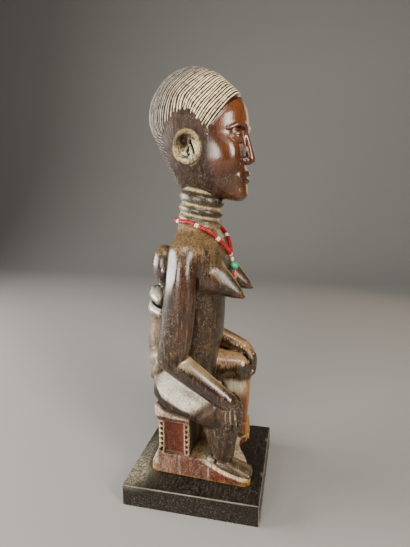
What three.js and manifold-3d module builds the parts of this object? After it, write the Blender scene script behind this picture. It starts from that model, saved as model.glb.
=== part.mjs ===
// Carved wooden figure of a seated mother with her child on her back, on a stool and a slab cut from the
// same block, set on a black wooden plinth, with a loose bead necklace round the neck.
// Millimetres, +Z up. The origin is the middle of the plinth's underside; the mother faces -Y and her left
// is +X. Points of the figure are given as forward, left and up, as she sits, and the whole carving is
// turned a little to her right on the plinth.
import * as THREE from 'three';
import { mergeVertices } from 'three/addons/utils/BufferGeometryUtils.js';
import Module from 'manifold-3d';

const wasm = await Module();
wasm.setup();

// Points closer than this are one point
const MERGE_DISTANCE = 1e-4;

// How much narrower a limb's rounded end is than the limb
const CAP_SHRINK = 0.55;

// How much higher the left knee, and the hand on it, are than the right ones
const LEFT_KNEE_RISE = 18;

// Hands
const PALM_SIDE = 41;
const FINGER_MIDDLE = 36;
const FINGER_PITCH = 4.5;
const FINGER_LENGTHS = [15.5, 17, 16.5, 14];

// Plinth
const PLINTH_SIDE = 125;
const PLINTH_HEIGHT = 20.5;
const PLINTH_CHAMFER = 0.8;
const FIGURE_TURN = THREE.MathUtils.degToRad(3.3);

// Slab under the feet
const SLAB_HALF_WIDTH = 40;
const SLAB_BACK = -42;
const SLAB_TOE = 54.5;
const SLAB_BACK_TOP = 40;
const SLAB_STEP = 41;
const SLAB_TOE_TOP = 28.5;
const SLAB_BACK_EDGE = 28;
const SLAB_CORNER = 7;
const BREAK_FORWARD = 39.5;

// Stool
const STOOL_BACK = -33;
const STOOL_FRONT = -3;
const STOOL_HALF_WIDTH = 38;
const SEAT_BOTTOM = 74.5;
const SEAT_HALF_WIDTH = 39.2;
const PANEL_MARGIN = 5.2;
const PANEL_DEPTH = 1.1;
const TEETH_PER_EDGE = 6;
const TOOTH_DEPTH = 1.3;
const TOOTH_LENGTH = 4;
const TOOTH_TIP = 0.4;

// Hair: ridges that run back from the hairline, which starts in front of each ear
const HAIR_START = { forward: 13.5, left: 28, up: 333.5 };
const HAIRLINE_TOP = { forward: 34, left: 0, up: 364 };
const HAIR_PITCH = 9.6;
const HAIR_RELIEF = 1.4;
const HAIR_STEP = 1.6;
const HAIR_REACH = 88;
const HAIR_PART_WIDTH = 6;
const NAPE_HEIGHT = 288;
const NAPE_LEAN = 0.38;

// Neck
const NECK_SLOPE = 0.2;

// Smooth patch round each ear, and the ear itself
const EAR = { forward: -4.7, left: 30, up: 318.7 };
const EAR_PATCH = { forward: -7.5, up: 322, halfLength: 22, halfHeight: 25 };
const EAR_HALF_LENGTH = 12.5;
const EAR_HALF_HEIGHT = 14;
const EAR_RIM = 2.4;
const EAR_RIM_SHARE = 0.2;
const EAR_HOLLOW_MARGIN = 3;

// Head and face: brow, nose base, mouth and chin follow the usual thirds below the hairline
const HEAD_CENTRE = { forward: -5, up: 334 };
const HEAD_HALF_WIDTH = 32;
const HEAD_SLICES = 9;
// The section across the head: 2 is an ellipse, more is squarer
const FACE_SQUARENESS = 2.35;
const SKULL_SQUARENESS = 2;
const JAW_NARROWING = 0.22;
const FACE_NARROWING = 0.1;
const CROWN_HEIGHT = 389;
const CHIN_HEIGHT = 275;
const FACE_THIRD = (HAIRLINE_TOP.up + 1 - CHIN_HEIGHT) / 3;
const BROW_HEIGHT = CHIN_HEIGHT + 2 * FACE_THIRD;
const NOSE_BASE = CHIN_HEIGHT + FACE_THIRD;
const MOUTH_HEIGHT = CHIN_HEIGHT + 0.68 * FACE_THIRD;
const FACE_FRONT = 41;
const EYE_SPACING = 13;
const EYE_BELOW_BROW = 7;
const SOCKET_HALF_WIDTH = 9;
const SOCKET_HALF_HEIGHT = 7;
const SOCKET_DEPTH = 2.6;

// Necklace
const BEAD_RADIUS = 2.05;
const RED_DISC_LENGTH = 3;
const WHITE_BEAD_LENGTH = 1.9;
const BEAD_GAP = 0.3;
const BEAD_CLEARANCE = 0.45;
const BEAD_SIDES = 5;
const BEAD_WAIST = 0.86;
// Lengths of the runs of red discs from the front to the back, as shares of their mean
const RUN_SHARES = [1.2, 1.05, 0.95, 0.8];
const NECK_AXIS_FORWARD = -2;
const NECKLACE_POINTS = 48;
// Height of the string of beads at angles from the front round to the back
const NECKLACE_HEIGHTS = [[0, 227], [22, 235.5], [43, 244], [60, 250], [96, 256.5], [180, 258]];
// Pendant beads: forward and up, half width and half height, sides, and shares of the width at the ends
const PALE_BEAD = [[28, 222.2], 1.6, 2.2, 6, 0.7, 0.7];
const TURQUOISE_BEAD = [[30.2, 216.4], 3.9, 3.1, 8, 0.6, 0.6];
const CORAL_DROP = [[30.4, 208.2], 2.1, 4.6, 6, 0.45, 0.8];

/** A point of the figure from its distances forward, to her left and up. */
const at = (forward, left, up) => new THREE.Vector3(left, -forward, up);

/** Closed solid from an indexed or plain geometry, with shared vertices merged. */
function solid(geometry) {
  geometry.deleteAttribute('normal');
  geometry.deleteAttribute('uv');
  const merged = mergeVertices(geometry, MERGE_DISTANCE);
  return new wasm.Manifold(new wasm.Mesh({
    numProp: 3,
    vertProperties: Float32Array.from(merged.attributes.position.array),
    triVerts: Uint32Array.from(merged.index.array),
  }));
}

/** Geometry from a solid. */
function geometryOf(body) {
  const mesh = body.getMesh();
  const geometry = new THREE.BufferGeometry();
  geometry.setAttribute('position', new THREE.BufferAttribute(Float32Array.from(mesh.vertProperties), 3));
  geometry.setIndex(new THREE.BufferAttribute(Uint32Array.from(mesh.triVerts), 1));
  return geometry;
}

const join = (bodies) => bodies.reduce((sum, body) => sum.add(body));

/** The corners of a geometry as vectors. */
function pointsOf(geometry) {
  const place = geometry.attributes.position;
  const corner = (_, i) => new THREE.Vector3().fromBufferAttribute(place, i);
  return Array.from({ length: place.count }, corner);
}

/** Triangles over points, turned round where they would face inwards. */
function surface(points, triangles) {
  let volume = 0;
  for (const [a, b, c] of triangles) {
    volume += points[a].dot(new THREE.Vector3().crossVectors(points[b], points[c]));
  }
  const geometry = new THREE.BufferGeometry().setFromPoints(points);
  geometry.setIndex(triangles.flatMap(([a, b, c]) => (volume > 0 ? [a, b, c] : [a, c, b])));
  return geometry;
}

/** Closed skin over rings of equally many points, with a fan over each end. */
function skin(rings) {
  const sides = rings[0].length;
  const points = rings.flat();
  const triangles = [];
  for (let row = 0; row + 1 < rings.length; row += 1) {
    for (let side = 0; side < sides; side += 1) {
      const next = (side + 1) % sides;
      const a = row * sides + side;
      const b = row * sides + next;
      triangles.push([a, b, b + sides], [a, b + sides, a + sides]);
    }
  }
  const middle = (ring) => ring.reduce((sum, p) => sum.add(p), new THREE.Vector3()).divideScalar(sides);
  const first = points.push(middle(rings[0])) - 1;
  const last = points.push(middle(rings.at(-1))) - 1;
  const end = (rings.length - 1) * sides;
  for (let side = 0; side < sides; side += 1) {
    const next = (side + 1) % sides;
    triangles.push([first, next, side], [last, end + side, end + next]);
  }
  return surface(points, triangles);
}

/** Signed power, for sections between an ellipse and a rectangle. */
const boxy = (value, power) => Math.sign(value) * Math.abs(value) ** (2 / power);

/** Body of sections [up, front, back, half width], level or sloping down to the front by `slope`. */
function stack(sections, sides, slope = 0, power = 2.3) {
  return skin(sections.map(([up, front, back, half]) => {
    const ring = [];
    for (let side = 0; side < sides; side += 1) {
      const angle = (2 * Math.PI * (side + 0.5)) / sides;
      const forward = (front + back) / 2 + ((front - back) / 2) * boxy(Math.cos(angle), power);
      ring.push(at(forward, half * boxy(Math.sin(angle), power), up - slope * forward));
    }
    return ring;
  }));
}

/**
 * Limb along a spine of stations [forward, left, up, radius across, radius along the side], with round ends.
 * `across` is the direction that the first radius is measured in.
 */
function limb(stations, sides, across, ends = [0.8, 0.8]) {
  const spine = stations.map(([forward, left, up]) => at(forward, left, up));
  const last = spine.length - 1;
  const rings = [];
  const ring = (centre, tangent, first, second) => {
    const a = across.clone().addScaledVector(tangent, -across.dot(tangent)).normalize();
    const b = new THREE.Vector3().crossVectors(tangent, a);
    const points = [];
    for (let side = 0; side < sides; side += 1) {
      const angle = (2 * Math.PI * (side + 0.5)) / sides;
      const out = centre.clone().addScaledVector(a, first * Math.cos(angle));
      points.push(out.addScaledVector(b, second * Math.sin(angle)));
    }
    return points;
  };
  stations.forEach(([, , , first, second = first], index) => {
    const before = spine[Math.max(index - 1, 0)];
    const after = spine[Math.min(index + 1, last)];
    const tangent = after.clone().sub(before).normalize();
    const cap = (way, reach) => {
      const centre = spine[index].clone().addScaledVector(tangent, way * reach * Math.min(first, second));
      return ring(centre, tangent, first * CAP_SHRINK, second * CAP_SHRINK);
    };
    if (index === 0 && ends[0]) rings.push(cap(-1, ends[0]));
    rings.push(ring(spine[index], tangent, first, second));
    if (index === last && ends[1]) rings.push(cap(1, ends[1]));
  });
  return skin(rings);
}

/** Ellipsoid round a point of the figure. */
function pebble([forward, left, up], [alongForward, alongLeft, alongUp], sides = 8, rows = 5) {
  const geometry = new THREE.SphereGeometry(1, sides, rows);
  geometry.scale(alongLeft, alongForward, alongUp);
  return geometry.translate(left, -forward, up);
}

/** Flat shape drawn in forward and up, as thick as from one distance left to the other. */
function sideCut(outline, fromLeft, toLeft) {
  const shape = new THREE.Shape(outline.map(([forward, up]) => new THREE.Vector2(forward, up)));
  const geometry = new THREE.ExtrudeGeometry(shape, { depth: toLeft - fromLeft, bevelEnabled: false });
  geometry.applyMatrix4(new THREE.Matrix4().makeBasis(at(1, 0, 0), at(0, 0, 1), at(0, 1, 0)));
  return turnedOut(geometry.translate(fromLeft, 0, 0));
}

/** Flat shape drawn in forward and left, as thick as from one height to the other. */
function planCut(outline, fromUp, toUp) {
  const shape = new THREE.Shape(outline.map(([forward, left]) => new THREE.Vector2(left, -forward)));
  const geometry = new THREE.ExtrudeGeometry(shape, { depth: toUp - fromUp, bevelEnabled: false });
  return geometry.translate(0, 0, fromUp);
}

/** The same closed geometry with its faces pointing out. */
function turnedOut(geometry) {
  geometry.deleteAttribute('normal');
  geometry.deleteAttribute('uv');
  const merged = mergeVertices(geometry, MERGE_DISTANCE);
  const points = pointsOf(merged);
  const index = Array.from(merged.index.array);
  const triangles = [];
  for (let i = 0; i < index.length; i += 3) triangles.push(index.slice(i, i + 3));
  return surface(points, triangles);
}

/** Mirror image of a geometry across her middle. */
function mirrored(geometry) {
  const copy = geometry.clone().scale(-1, 1, 1);
  return turnedOut(copy);
}

/**
 * Splits the triangles of a closed geometry along the lines where a field takes given values, then moves
 * every vertex by a displacement. Ridges and grooves get clean edges this way with few triangles.
 */
function engrave(geometry, field, levels, move) {
  const merged = turnedOut(geometry);
  const points = pointsOf(merged);
  const values = points.map(field);
  const spacing = levels.slice(1).map((level, i) => level - levels[i]);
  values.forEach((value, i) => {
    const order = levels.findIndex((level, k) => (
      Math.abs(value - level) < 0.2 * Math.min(spacing[k] ?? Infinity, spacing[k - 1] ?? Infinity)
    ));
    if (order >= 0) values[i] = levels[order];
  });
  const cuts = new Map();
  const onEdge = (a, b, level) => {
    if (values[a] === level) return a;
    if (values[b] === level) return b;
    const key = `${Math.min(a, b)}_${Math.max(a, b)}_${level}`;
    if (!cuts.has(key)) {
      const along = (level - values[a]) / (values[b] - values[a]);
      cuts.set(key, points.push(points[a].clone().lerp(points[b], along)) - 1);
      values.push(level);
    }
    return cuts.get(key);
  };
  const triangles = [];
  const index = Array.from(merged.index.array);
  for (let i = 0; i < index.length; i += 3) {
    const corners = index.slice(i, i + 3);
    const [low, middle, high] = [...corners].sort((a, b) => values[a] - values[b]);
    const upright = (corners.indexOf(low) + 1) % 3 === corners.indexOf(middle);
    const crossed = levels.filter((level) => level > values[low] && level < values[high]);
    const across = (level) => onEdge(low, high, level);
    const bent = (level) => (
      level <= values[middle] ? onEdge(low, middle, level) : onEdge(middle, high, level)
    );
    const steps = [[low, low, values[low]], ...crossed.map((level) => [across(level), bent(level), level]),
      [high, high, values[high]]];
    for (let step = 0; step + 1 < steps.length; step += 1) {
      const [fromLong, fromShort, from] = steps[step];
      const [toLong, toShort, to] = steps[step + 1];
      const between = values[middle] >= from && values[middle] <= to ? [middle] : [];
      const polygon = [...new Set([fromLong, fromShort, ...between, toShort, toLong])];
      for (let corner = 1; corner + 1 < polygon.length; corner += 1) {
        const [b, c] = upright ? [corner, corner + 1] : [corner + 1, corner];
        triangles.push([polygon[0], polygon[b], polygon[c]]);
      }
    }
  }
  points.forEach((point, i) => point.copy(move(point, values[i])));
  return surface(points, triangles);
}

/** Smooth bump that is 1 at 0 and 0 from 1 outwards. */
const bump = (distance) => (distance < 1 ? (1 - distance * distance) ** 2 : 0);

/** How far a point lies from her middle, with the turn over the middle made round. */
const offMiddle = (left) => Math.hypot(left, HAIR_PART_WIDTH) - HAIR_PART_WIDTH;

/**
 * Distance behind the hairline; below 0 on the face. Seen from the side the ridges are level with the
 * hairline, and towards the back they also curve round the middle, so that they run down the back of the
 * head.
 */
function hairField(point) {
  const start = new THREE.Vector2(HAIR_START.forward, HAIR_START.up);
  const way = new THREE.Vector2(HAIRLINE_TOP.forward, HAIRLINE_TOP.up).sub(start).normalize();
  const from = new THREE.Vector2(-point.y, point.z).sub(start);
  const along = Math.max(from.dot(way), 0);
  const onFace = along > 0 ? from.cross(way) : from.x;
  const distance = from.clone().addScaledVector(way, -along).length();
  if (onFace > 0) return -distance;
  const inward = Math.max(offMiddle(HAIR_START.left) - offMiddle(point.x), 0);
  return distance + inward * THREE.MathUtils.smoothstep(distance, 8, 72);
}

/** Share of the hair's relief at a point of the head: none on the face, round the ear and at the neck. */
function hairShare(point) {
  const below = Math.max(EAR_PATCH.up - point.z, 0);
  const above = Math.max(point.z - EAR_PATCH.up, 0) / EAR_PATCH.halfHeight;
  const behind = (EAR_PATCH.forward + point.y) / (EAR_PATCH.halfLength - NAPE_LEAN * below);
  const ahead = below > 0 ? 0 : -behind;
  const round = Math.hypot(Math.max(behind, ahead, 0), above);
  const side = Math.abs(point.x) > HEAD_HALF_WIDTH * 0.3;
  const patch = side ? THREE.MathUtils.smoothstep(round, 0.95, 1.08) : 1;
  return patch * THREE.MathUtils.smoothstep(point.z, NAPE_HEIGHT - 2, NAPE_HEIGHT + 2);
}

/** Outline through the head's middle, from under the chin up the face, over the crown and down the nape. */
function headOutline() {
  return [
    [2, 279.5], [17, 276.5], [31, CHIN_HEIGHT], [37.5, CHIN_HEIGHT + 4],
    [FACE_FRONT - 1.5, CHIN_HEIGHT + 11],
    [FACE_FRONT, MOUTH_HEIGHT + 1], [FACE_FRONT - 0.8, NOSE_BASE + 5], [FACE_FRONT - 1.5, BROW_HEIGHT - 7],
    [FACE_FRONT + 1, BROW_HEIGHT + 1], [FACE_FRONT + 0.3, BROW_HEIGHT + 13], [38, BROW_HEIGHT + 22],
    [HAIRLINE_TOP.forward - HAIR_STEP, HAIRLINE_TOP.up - 1],
    [25.5, 371.5], [13, 382], [-6, CROWN_HEIGHT], [-24, 385], [-37.4, 374.4],
    [-46.2, 360], [-47.8, 342], [-40, 323], [-31.5, 305], [-23, 290], [-14, 283],
  ];
}

/** Head with grooved hair, the outline made narrower and drawn in towards the temples. */
function head() {
  const outline = headOutline();
  const rings = [];
  for (let slice = 0; slice < HEAD_SLICES; slice += 1) {
    const side = Math.sin((Math.PI / 2) * ((2 * (slice + 0.45)) / (HEAD_SLICES - 0.1) - 1));
    rings.push(outline.map(([forward, up]) => {
      const crown = THREE.MathUtils.smoothstep(up, 345, 368);
      const skull = Math.max(crown, THREE.MathUtils.smoothstep(-forward, -8, 20));
      const power = THREE.MathUtils.lerp(FACE_SQUARENESS, SKULL_SQUARENESS, skull);
      const shrink = (1 - Math.abs(side) ** power) ** (1 / power);
      const jaw = THREE.MathUtils.smoothstep(HEAD_CENTRE.up - 8 - up, 0, 45);
      const front = THREE.MathUtils.smoothstep(forward, 5, 40);
      const width = 1 - (JAW_NARROWING * jaw + FACE_NARROWING * front) * shrink;
      return at(
        HEAD_CENTRE.forward + (forward - HEAD_CENTRE.forward) * shrink,
        HEAD_HALF_WIDTH * side * width,
        HEAD_CENTRE.up + (up - HEAD_CENTRE.up) * shrink,
      );
    }));
  }
  const levels = [-0.35, 0.35];
  for (let level = HAIR_PITCH / 2; level < HAIR_REACH; level += HAIR_PITCH / 2) levels.push(level);
  return engrave(skin(rings), hairField, levels, (point, value) => {
    const out = point.clone().sub(at(HEAD_CENTRE.forward, 0, HEAD_CENTRE.up)).normalize();
    const place = value / HAIR_PITCH;
    const wave = 1 - 2 * Math.abs(place - Math.floor(place) - 0.5) * 2;
    const ridges = value > 0.3 ? HAIR_RELIEF * 0.5 * -wave : 0;
    const offEye = (Math.abs(point.x) - EYE_SPACING) / SOCKET_HALF_WIDTH;
    const overEye = (point.z - BROW_HEIGHT + EYE_BELOW_BROW) / SOCKET_HALF_HEIGHT;
    const socket = point.y < -20 ? SOCKET_DEPTH * bump(Math.hypot(offEye, overEye)) : 0;
    const drop = value < 0.3 && point.z > NOSE_BASE ? 0.25 * HAIR_STEP : 0;
    return point.clone().addScaledVector(out, hairShare(point) * ridges - drop - socket);
  });
}

/** Nose, lips, brows, eyes and lids. */
function face() {
  const across = at(0, 1, 0);
  const nose = limb([
    [FACE_FRONT - 3.5, 0, BROW_HEIGHT - 3, 2, 2.4],
    [FACE_FRONT, 0, BROW_HEIGHT - 13, 2.9, 3.8],
    [FACE_FRONT + 2.5, 0, NOSE_BASE + 8, 4.6, 5],
    [FACE_FRONT + 1.5, 0, NOSE_BASE + 4, 6.6, 5.2],
  ], 8, across, [0.5, 0.7]);
  const parts = [
    nose,
    pebble([FACE_FRONT - 0.5, 0, MOUTH_HEIGHT + 2.2], [3.2, 9.5, 2.3], 6, 4),
    pebble([FACE_FRONT - 1, 0, MOUTH_HEIGHT - 2.4], [3.4, 8.4, 2.6], 6, 4),
  ];
  const half = [
    pebble([FACE_FRONT - 8, EYE_SPACING, BROW_HEIGHT - EYE_BELOW_BROW], [5, 7.4, 4], 8, 4),
    limb([
      [FACE_FRONT - 4.8, EYE_SPACING - 7, BROW_HEIGHT - 7.4, 0.9],
      [FACE_FRONT - 3.6, EYE_SPACING, BROW_HEIGHT - 3, 1.3],
      [FACE_FRONT - 8.5, EYE_SPACING + 8, BROW_HEIGHT - 7, 0.9],
    ], 4, across),
    limb([
      [FACE_FRONT - 0.6, 3.5, BROW_HEIGHT - 0.5, 1.4],
      [FACE_FRONT - 2, EYE_SPACING, BROW_HEIGHT + 3, 1.7],
      [FACE_FRONT - 9.5, EYE_SPACING + 10, BROW_HEIGHT - 1, 1.2],
    ], 4, across),
  ];
  return [...parts, ...half, ...half.map(mirrored)];
}

/** Ear: a round rim with a fold inside it, and the hollow that the rim stands round. */
function ear() {
  const tilt = (geometry) => (
    geometry.rotateZ(0.16).rotateX(0.1).translate(EAR.left, -EAR.forward, EAR.up)
  );
  const rim = new THREE.TorusGeometry(1, EAR_RIM_SHARE, 4, 11);
  rim.scale(EAR_HALF_LENGTH - EAR_RIM, EAR_HALF_HEIGHT - EAR_RIM, EAR_RIM / EAR_RIM_SHARE);
  rim.rotateX(Math.PI / 2).rotateZ(Math.PI / 2);
  const hollow = pebble([0, 1, 0], [
    EAR_HALF_LENGTH - EAR_HOLLOW_MARGIN, 4.5, EAR_HALF_HEIGHT - EAR_HOLLOW_MARGIN,
  ], 8, 5);
  const fold = limb([
    [2, 0.6, 8.5, 1.6],
    [6, 0.8, 3, 1.7],
    [3, 1, -3, 1.9],
    [-3, 0.8, -7.5, 1.6],
  ], 5, at(0, 1, 0));
  return { rim: tilt(rim), hollow: tilt(hollow), fold: tilt(fold) };
}

/** Torso from the lap to the base of the neck. */
const torso = () => stack([
  [90, 8, -38, 33], [108, 10, -40, 34.5], [122, 12.5, -39, 33], [136, 15.5, -33, 28], [152, 18.8, -29, 26.5],
  [185, 20.5, -27.5, 29], [199, 22, -28, 32], [212, 25, -28.5, 36],
  [220, 25.5, -28.5, 40], [229, 23.5, -28, 43.5], [237, 20.5, -26, 41], [244, 17.5, -24, 32],
  [250, 15, -22.5, 24], [257, 13, -20.5, 18],
], 12);

/** Neck with its three rolls, which slope down to the front. */
const neck = () => stack([
  [248, 14, -20, 19], [253.5, 13.6, -20.5, 18], [257, 15.4, -21.5, 19],
  [261, 14.8, -19.2, 17.2], [264.5, 17.5, -21, 19.2], [268, 17.8, -20.8, 19.2],
  [270.5, 16.2, -18.6, 17.4], [274, 18.8, -20.4, 19.3], [278.5, 19.2, -19.8, 19], [281.5, 17, -18.4, 17.4],
  [292, 12, -14, 12],
], 10, NECK_SLOPE);

/** Pointed breast on her left. */
const breast = () => limb([
  [8, 20, 210.5, 14.6, 16.2],
  [18, 20, 207, 12.6, 13.8],
  [27, 20, 202, 9.2, 10],
  [35, 20, 197, 5.8, 6.2],
  [42, 20, 192.8, 2.1, 2.1],
], 8, at(0, 1, 0), [0, 0.9]);

/** Arm from the shoulder to the wrist; `lift` raises the forearm on the side where the knee is higher. */
function arm(side, lift) {
  const across = at(1, 0, 0);
  const upper = limb([
    [-5, 33 * side, 239, 11, 7],
    [-6, 40.5 * side, 230, 12, 9.5],
    [-6.5, 44 * side, 215, 12.5, 10.4],
    [-7.5, 44.5 * side, 194, 14, 10.4],
    [-10.5, 44.5 * side, 170, 14.8, 10.4],
    [-13.5, 44.5 * side, 151, 14.6, 10.6],
    [-17, 44.5 * side, 138, 12.5, 10],
  ], 8, across, [0.8, 0.8]);
  const fore = limb([
    [-17, 44.5 * side, 138 + lift * 0.1, 9.6, 12],
    [-6, 44 * side, 131 + lift * 0.25, 9.4, 12],
    [10, 43 * side, 119.5 + lift * 0.55, 8.8, 11],
    [24, 41.8 * side, 109.5 + lift * 0.85, 8, 9.8],
    [36, 41 * side, 101 + lift, 6.8, 8.8],
  ], 8, at(0, 1, 0), [0.8, 0.5]);
  return [upper, fore];
}

/** Hand laid down the outer side of the knee, its four fingers side by side. */
function hand(side, lift) {
  const across = at(1, 0, 0);
  const palm = limb([
    [33.5, PALM_SIDE * side, 103 + lift, 8.6, 6.2],
    [35.2, (PALM_SIDE + 0.5) * side, 95 + lift, 9.4, 5.6],
    [35.6, (PALM_SIDE + 0.5) * side, 88 + lift, 9, 4.6],
  ], 8, across, [0.6, 0.4]);
  const fingers = FINGER_LENGTHS.map((length, finger) => {
    const forward = FINGER_MIDDLE + FINGER_PITCH * (finger - 1.5);
    return limb([
      [forward, (PALM_SIDE + 0.5) * side, 92 + lift, FINGER_PITCH * 0.52, 4.8],
      [forward, (PALM_SIDE + 1) * side, 86 + lift, FINGER_PITCH * 0.52, 4.8],
      [forward - 0.4, (PALM_SIDE + 0.5) * side, 93 - length + lift, FINGER_PITCH * 0.48, 4],
    ], 5, across, [0, 0.5]);
  });
  return [palm, ...fingers];
}

/** Thigh from the hip to the knee; `rise` is how much higher the knee is on that side. */
const thigh = (side, rise) => limb([
  [-22, 26 * side, 110.5, 16.5, 21],
  [-8, 29 * side, 105 + rise * 0.1, 16, 20.5 - rise * 0.05],
  [8, 31.5 * side, 98.5 + rise * 0.33, 15, 18.5 - rise * 0.06],
  [22, 33 * side, 92.5 + rise * 0.74, 14.2, 17 - rise * 0.14],
  [32, 33 * side, 90 + rise * 0.97, 13.2, 15.4 - rise * 0.15],
], 9, at(0, 1, 0), [0.95, 0.65]);

/** Lower leg, wide at the knee and narrow at the ankle. */
const shin = (side, rise) => limb([
  [27, 32.5 * side, 86 + rise * 0.7, 15.5, 12],
  [25.8, 32.5 * side, 74 + rise * 0.6, 16.6 - rise * 0.08, 11.5],
  [26, 32.2 * side, 62 + rise * 0.3, 14.2, 10.8],
  [27.4, 32 * side, 50, 11.2, 10],
  [28.2, 32 * side, 43, 10.2, 9.4],
], 9, at(1, 0, 0), [0.3, 0.3]);

/** Foot pointing forward on the sloping front of the slab. */
const foot = (side) => limb([
  [25, 30.5 * side, 37, 8.6, 6.5],
  [34, 30 * side, 34.4, 9.2, 6],
  [44, 29 * side, 30.6, 9.6, 5.4],
  [52.5, 28.5 * side, 28.3, 9, 4.4],
], 8, at(0, 1, 0), [0.6, 0.25]);

/** Slab with rounded corners, sloping down under the feet, its front edge cut back between them. */
function slab() {
  const side = sideCut([
    [SLAB_BACK, PLINTH_HEIGHT], [SLAB_TOE, PLINTH_HEIGHT], [SLAB_TOE, SLAB_TOE_TOP],
    [44, SLAB_TOE_TOP + 0.8], [31, 32.5], [21, 36.5], [12, SLAB_STEP], [-8, SLAB_STEP],
    [STOOL_BACK, SLAB_STEP + 5],
    [STOOL_BACK - 4.5, SLAB_BACK_TOP - 4], [SLAB_BACK, SLAB_BACK_EDGE],
  ], -SLAB_HALF_WIDTH - 1, SLAB_HALF_WIDTH + 1);
  const outline = [];
  const corner = (forward, left, from) => {
    for (let step = 0; step <= 3; step += 1) {
      const angle = from + (Math.PI / 2) * (step / 3);
      outline.push([forward + SLAB_CORNER * Math.cos(angle), left + SLAB_CORNER * Math.sin(angle)]);
    }
  };
  corner(SLAB_BACK + SLAB_CORNER, SLAB_HALF_WIDTH - SLAB_CORNER, Math.PI / 2);
  corner(SLAB_BACK + SLAB_CORNER, -SLAB_HALF_WIDTH + SLAB_CORNER, Math.PI);
  corner(SLAB_TOE - SLAB_CORNER, -SLAB_HALF_WIDTH + SLAB_CORNER, 1.5 * Math.PI);
  outline.push([51.5, -25], [45, -9], [38, 2], [34, 15], [34.5, 24]);
  outline.push([BREAK_FORWARD - 1, 31], [BREAK_FORWARD, 39]);
  return solid(side).intersect(solid(planCut(outline, PLINTH_HEIGHT, SLAB_STEP + 8)));
}

/** Stool: a block with a framed panel and rows of teeth on each side, its seat curving up behind. */
function stool() {
  const foot = SLAB_STEP - 5;
  const top = SEAT_BOTTOM + 2;
  const block = sideCut([
    [STOOL_BACK, foot], [STOOL_FRONT, foot], [STOOL_FRONT, top], [STOOL_BACK, top],
  ], -STOOL_HALF_WIDTH, STOOL_HALF_WIDTH);
  const seat = sideCut([
    [STOOL_BACK - 0.5, SEAT_BOTTOM], [STOOL_FRONT, SEAT_BOTTOM], [STOOL_FRONT + 0.8, SEAT_BOTTOM + 3.5],
    [-14, SEAT_BOTTOM + 5.5], [-28, SEAT_BOTTOM + 9], [STOOL_BACK - 3, SEAT_BOTTOM + 15],
    [STOOL_BACK - 3, SEAT_BOTTOM + 6],
  ], -SEAT_HALF_WIDTH, SEAT_HALF_WIDTH);
  let body = solid(block).add(solid(seat));
  const low = SLAB_STEP + 0.5;
  const high = SEAT_BOTTOM - 1.5;
  const pitch = (high - low - 1) / TEETH_PER_EDGE;
  for (const way of [-1, 1]) {
    const face = way * STOOL_HALF_WIDTH;
    const recess = (outline, depth) => {
      const [from, to] = [face - way * depth, face + way * 2].sort((a, b) => a - b);
      body = body.subtract(solid(sideCut(outline, from, to)));
    };
    recess([
      [STOOL_BACK + PANEL_MARGIN, low], [STOOL_FRONT - PANEL_MARGIN, low],
      [STOOL_FRONT - PANEL_MARGIN, high], [STOOL_BACK + PANEL_MARGIN, high],
    ], PANEL_DEPTH);
    for (let tooth = 0; tooth < TEETH_PER_EDGE; tooth += 1) {
      const base = low + 0.5 + pitch * tooth;
      for (const [edge, inward] of [[STOOL_BACK, 1], [STOOL_FRONT, -1]]) {
        const root = edge + inward * TOOTH_LENGTH;
        const tip = edge + inward * TOOTH_TIP;
        recess([[root, base], [tip, base + pitch / 2], [root, base + pitch * 0.95]], TOOTH_DEPTH);
      }
    }
  }
  return body;
}

/** Left foot's stump, broken off level with the shin. */
function brokenFoot() {
  const whole = solid(limb([
    [22, 32, 38, 8.5, 9],
    [30, 32.5, 38, 9, 12],
    [45, 32.5, 36, 8.5, 13],
  ], 10, at(0, 1, 0), [0.6, 0.3]));
  const kept = planCut([
    [-10, 20], [-10, 50], [BREAK_FORWARD - 1.5, 50], [BREAK_FORWARD, 40], [BREAK_FORWARD + 0.5, 34],
    [BREAK_FORWARD - 4, 26], [BREAK_FORWARD - 6, 20],
  ], PLINTH_HEIGHT, 60);
  return whole.intersect(solid(kept));
}

/** Child sitting on her back, its arms and legs held round her. */
function child() {
  const across = at(0, 1, 0);
  const back = [
    pebble([-37, 0, 216], [12.5, 13.5, 18.3], 9, 6),
    limb([[-37, 0, 200, 8.5, 8], [-38, 0, 186, 10, 7]], 7, across, [0, 0]),
    limb([
      [-38, 0, 186, 13, 8],
      [-40, 0, 176, 15.5, 11],
      [-40, 0, 156, 14.5, 12.5],
      [-41, 0, 136, 16, 14.5],
      [-41, 0, 122, 15.5, 13.5],
    ], 9, across, [0.6, 0.8]),
  ];
  const half = [
    limb([
      [-43, 9, 187, 5.6, 6],
      [-39, 20, 185, 5, 5.6],
      [-32, 27, 182, 4.4, 5],
    ], 5, at(0, 0, 1)),
    limb([
      [-46, 10, 175, 5.4, 5.6],
      [-40, 22, 173, 5, 5.4],
      [-29, 29, 173, 4.4, 4.6],
    ], 5, at(0, 0, 1)),
    limb([
      [-44, 10, 124, 9, 9],
      [-38, 21, 129, 8, 8.5],
      [-27, 29, 134, 6.4, 7],
    ], 7, at(0, 0, 1)),
    limb([
      [-28, 30, 134, 6, 6],
      [-33, 31, 124, 5.4, 5.2],
      [-39, 28, 115, 5, 5.2],
    ], 6, at(0, 1, 0)),
  ];
  return [...back, ...half, ...half.map(mirrored)];
}

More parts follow.
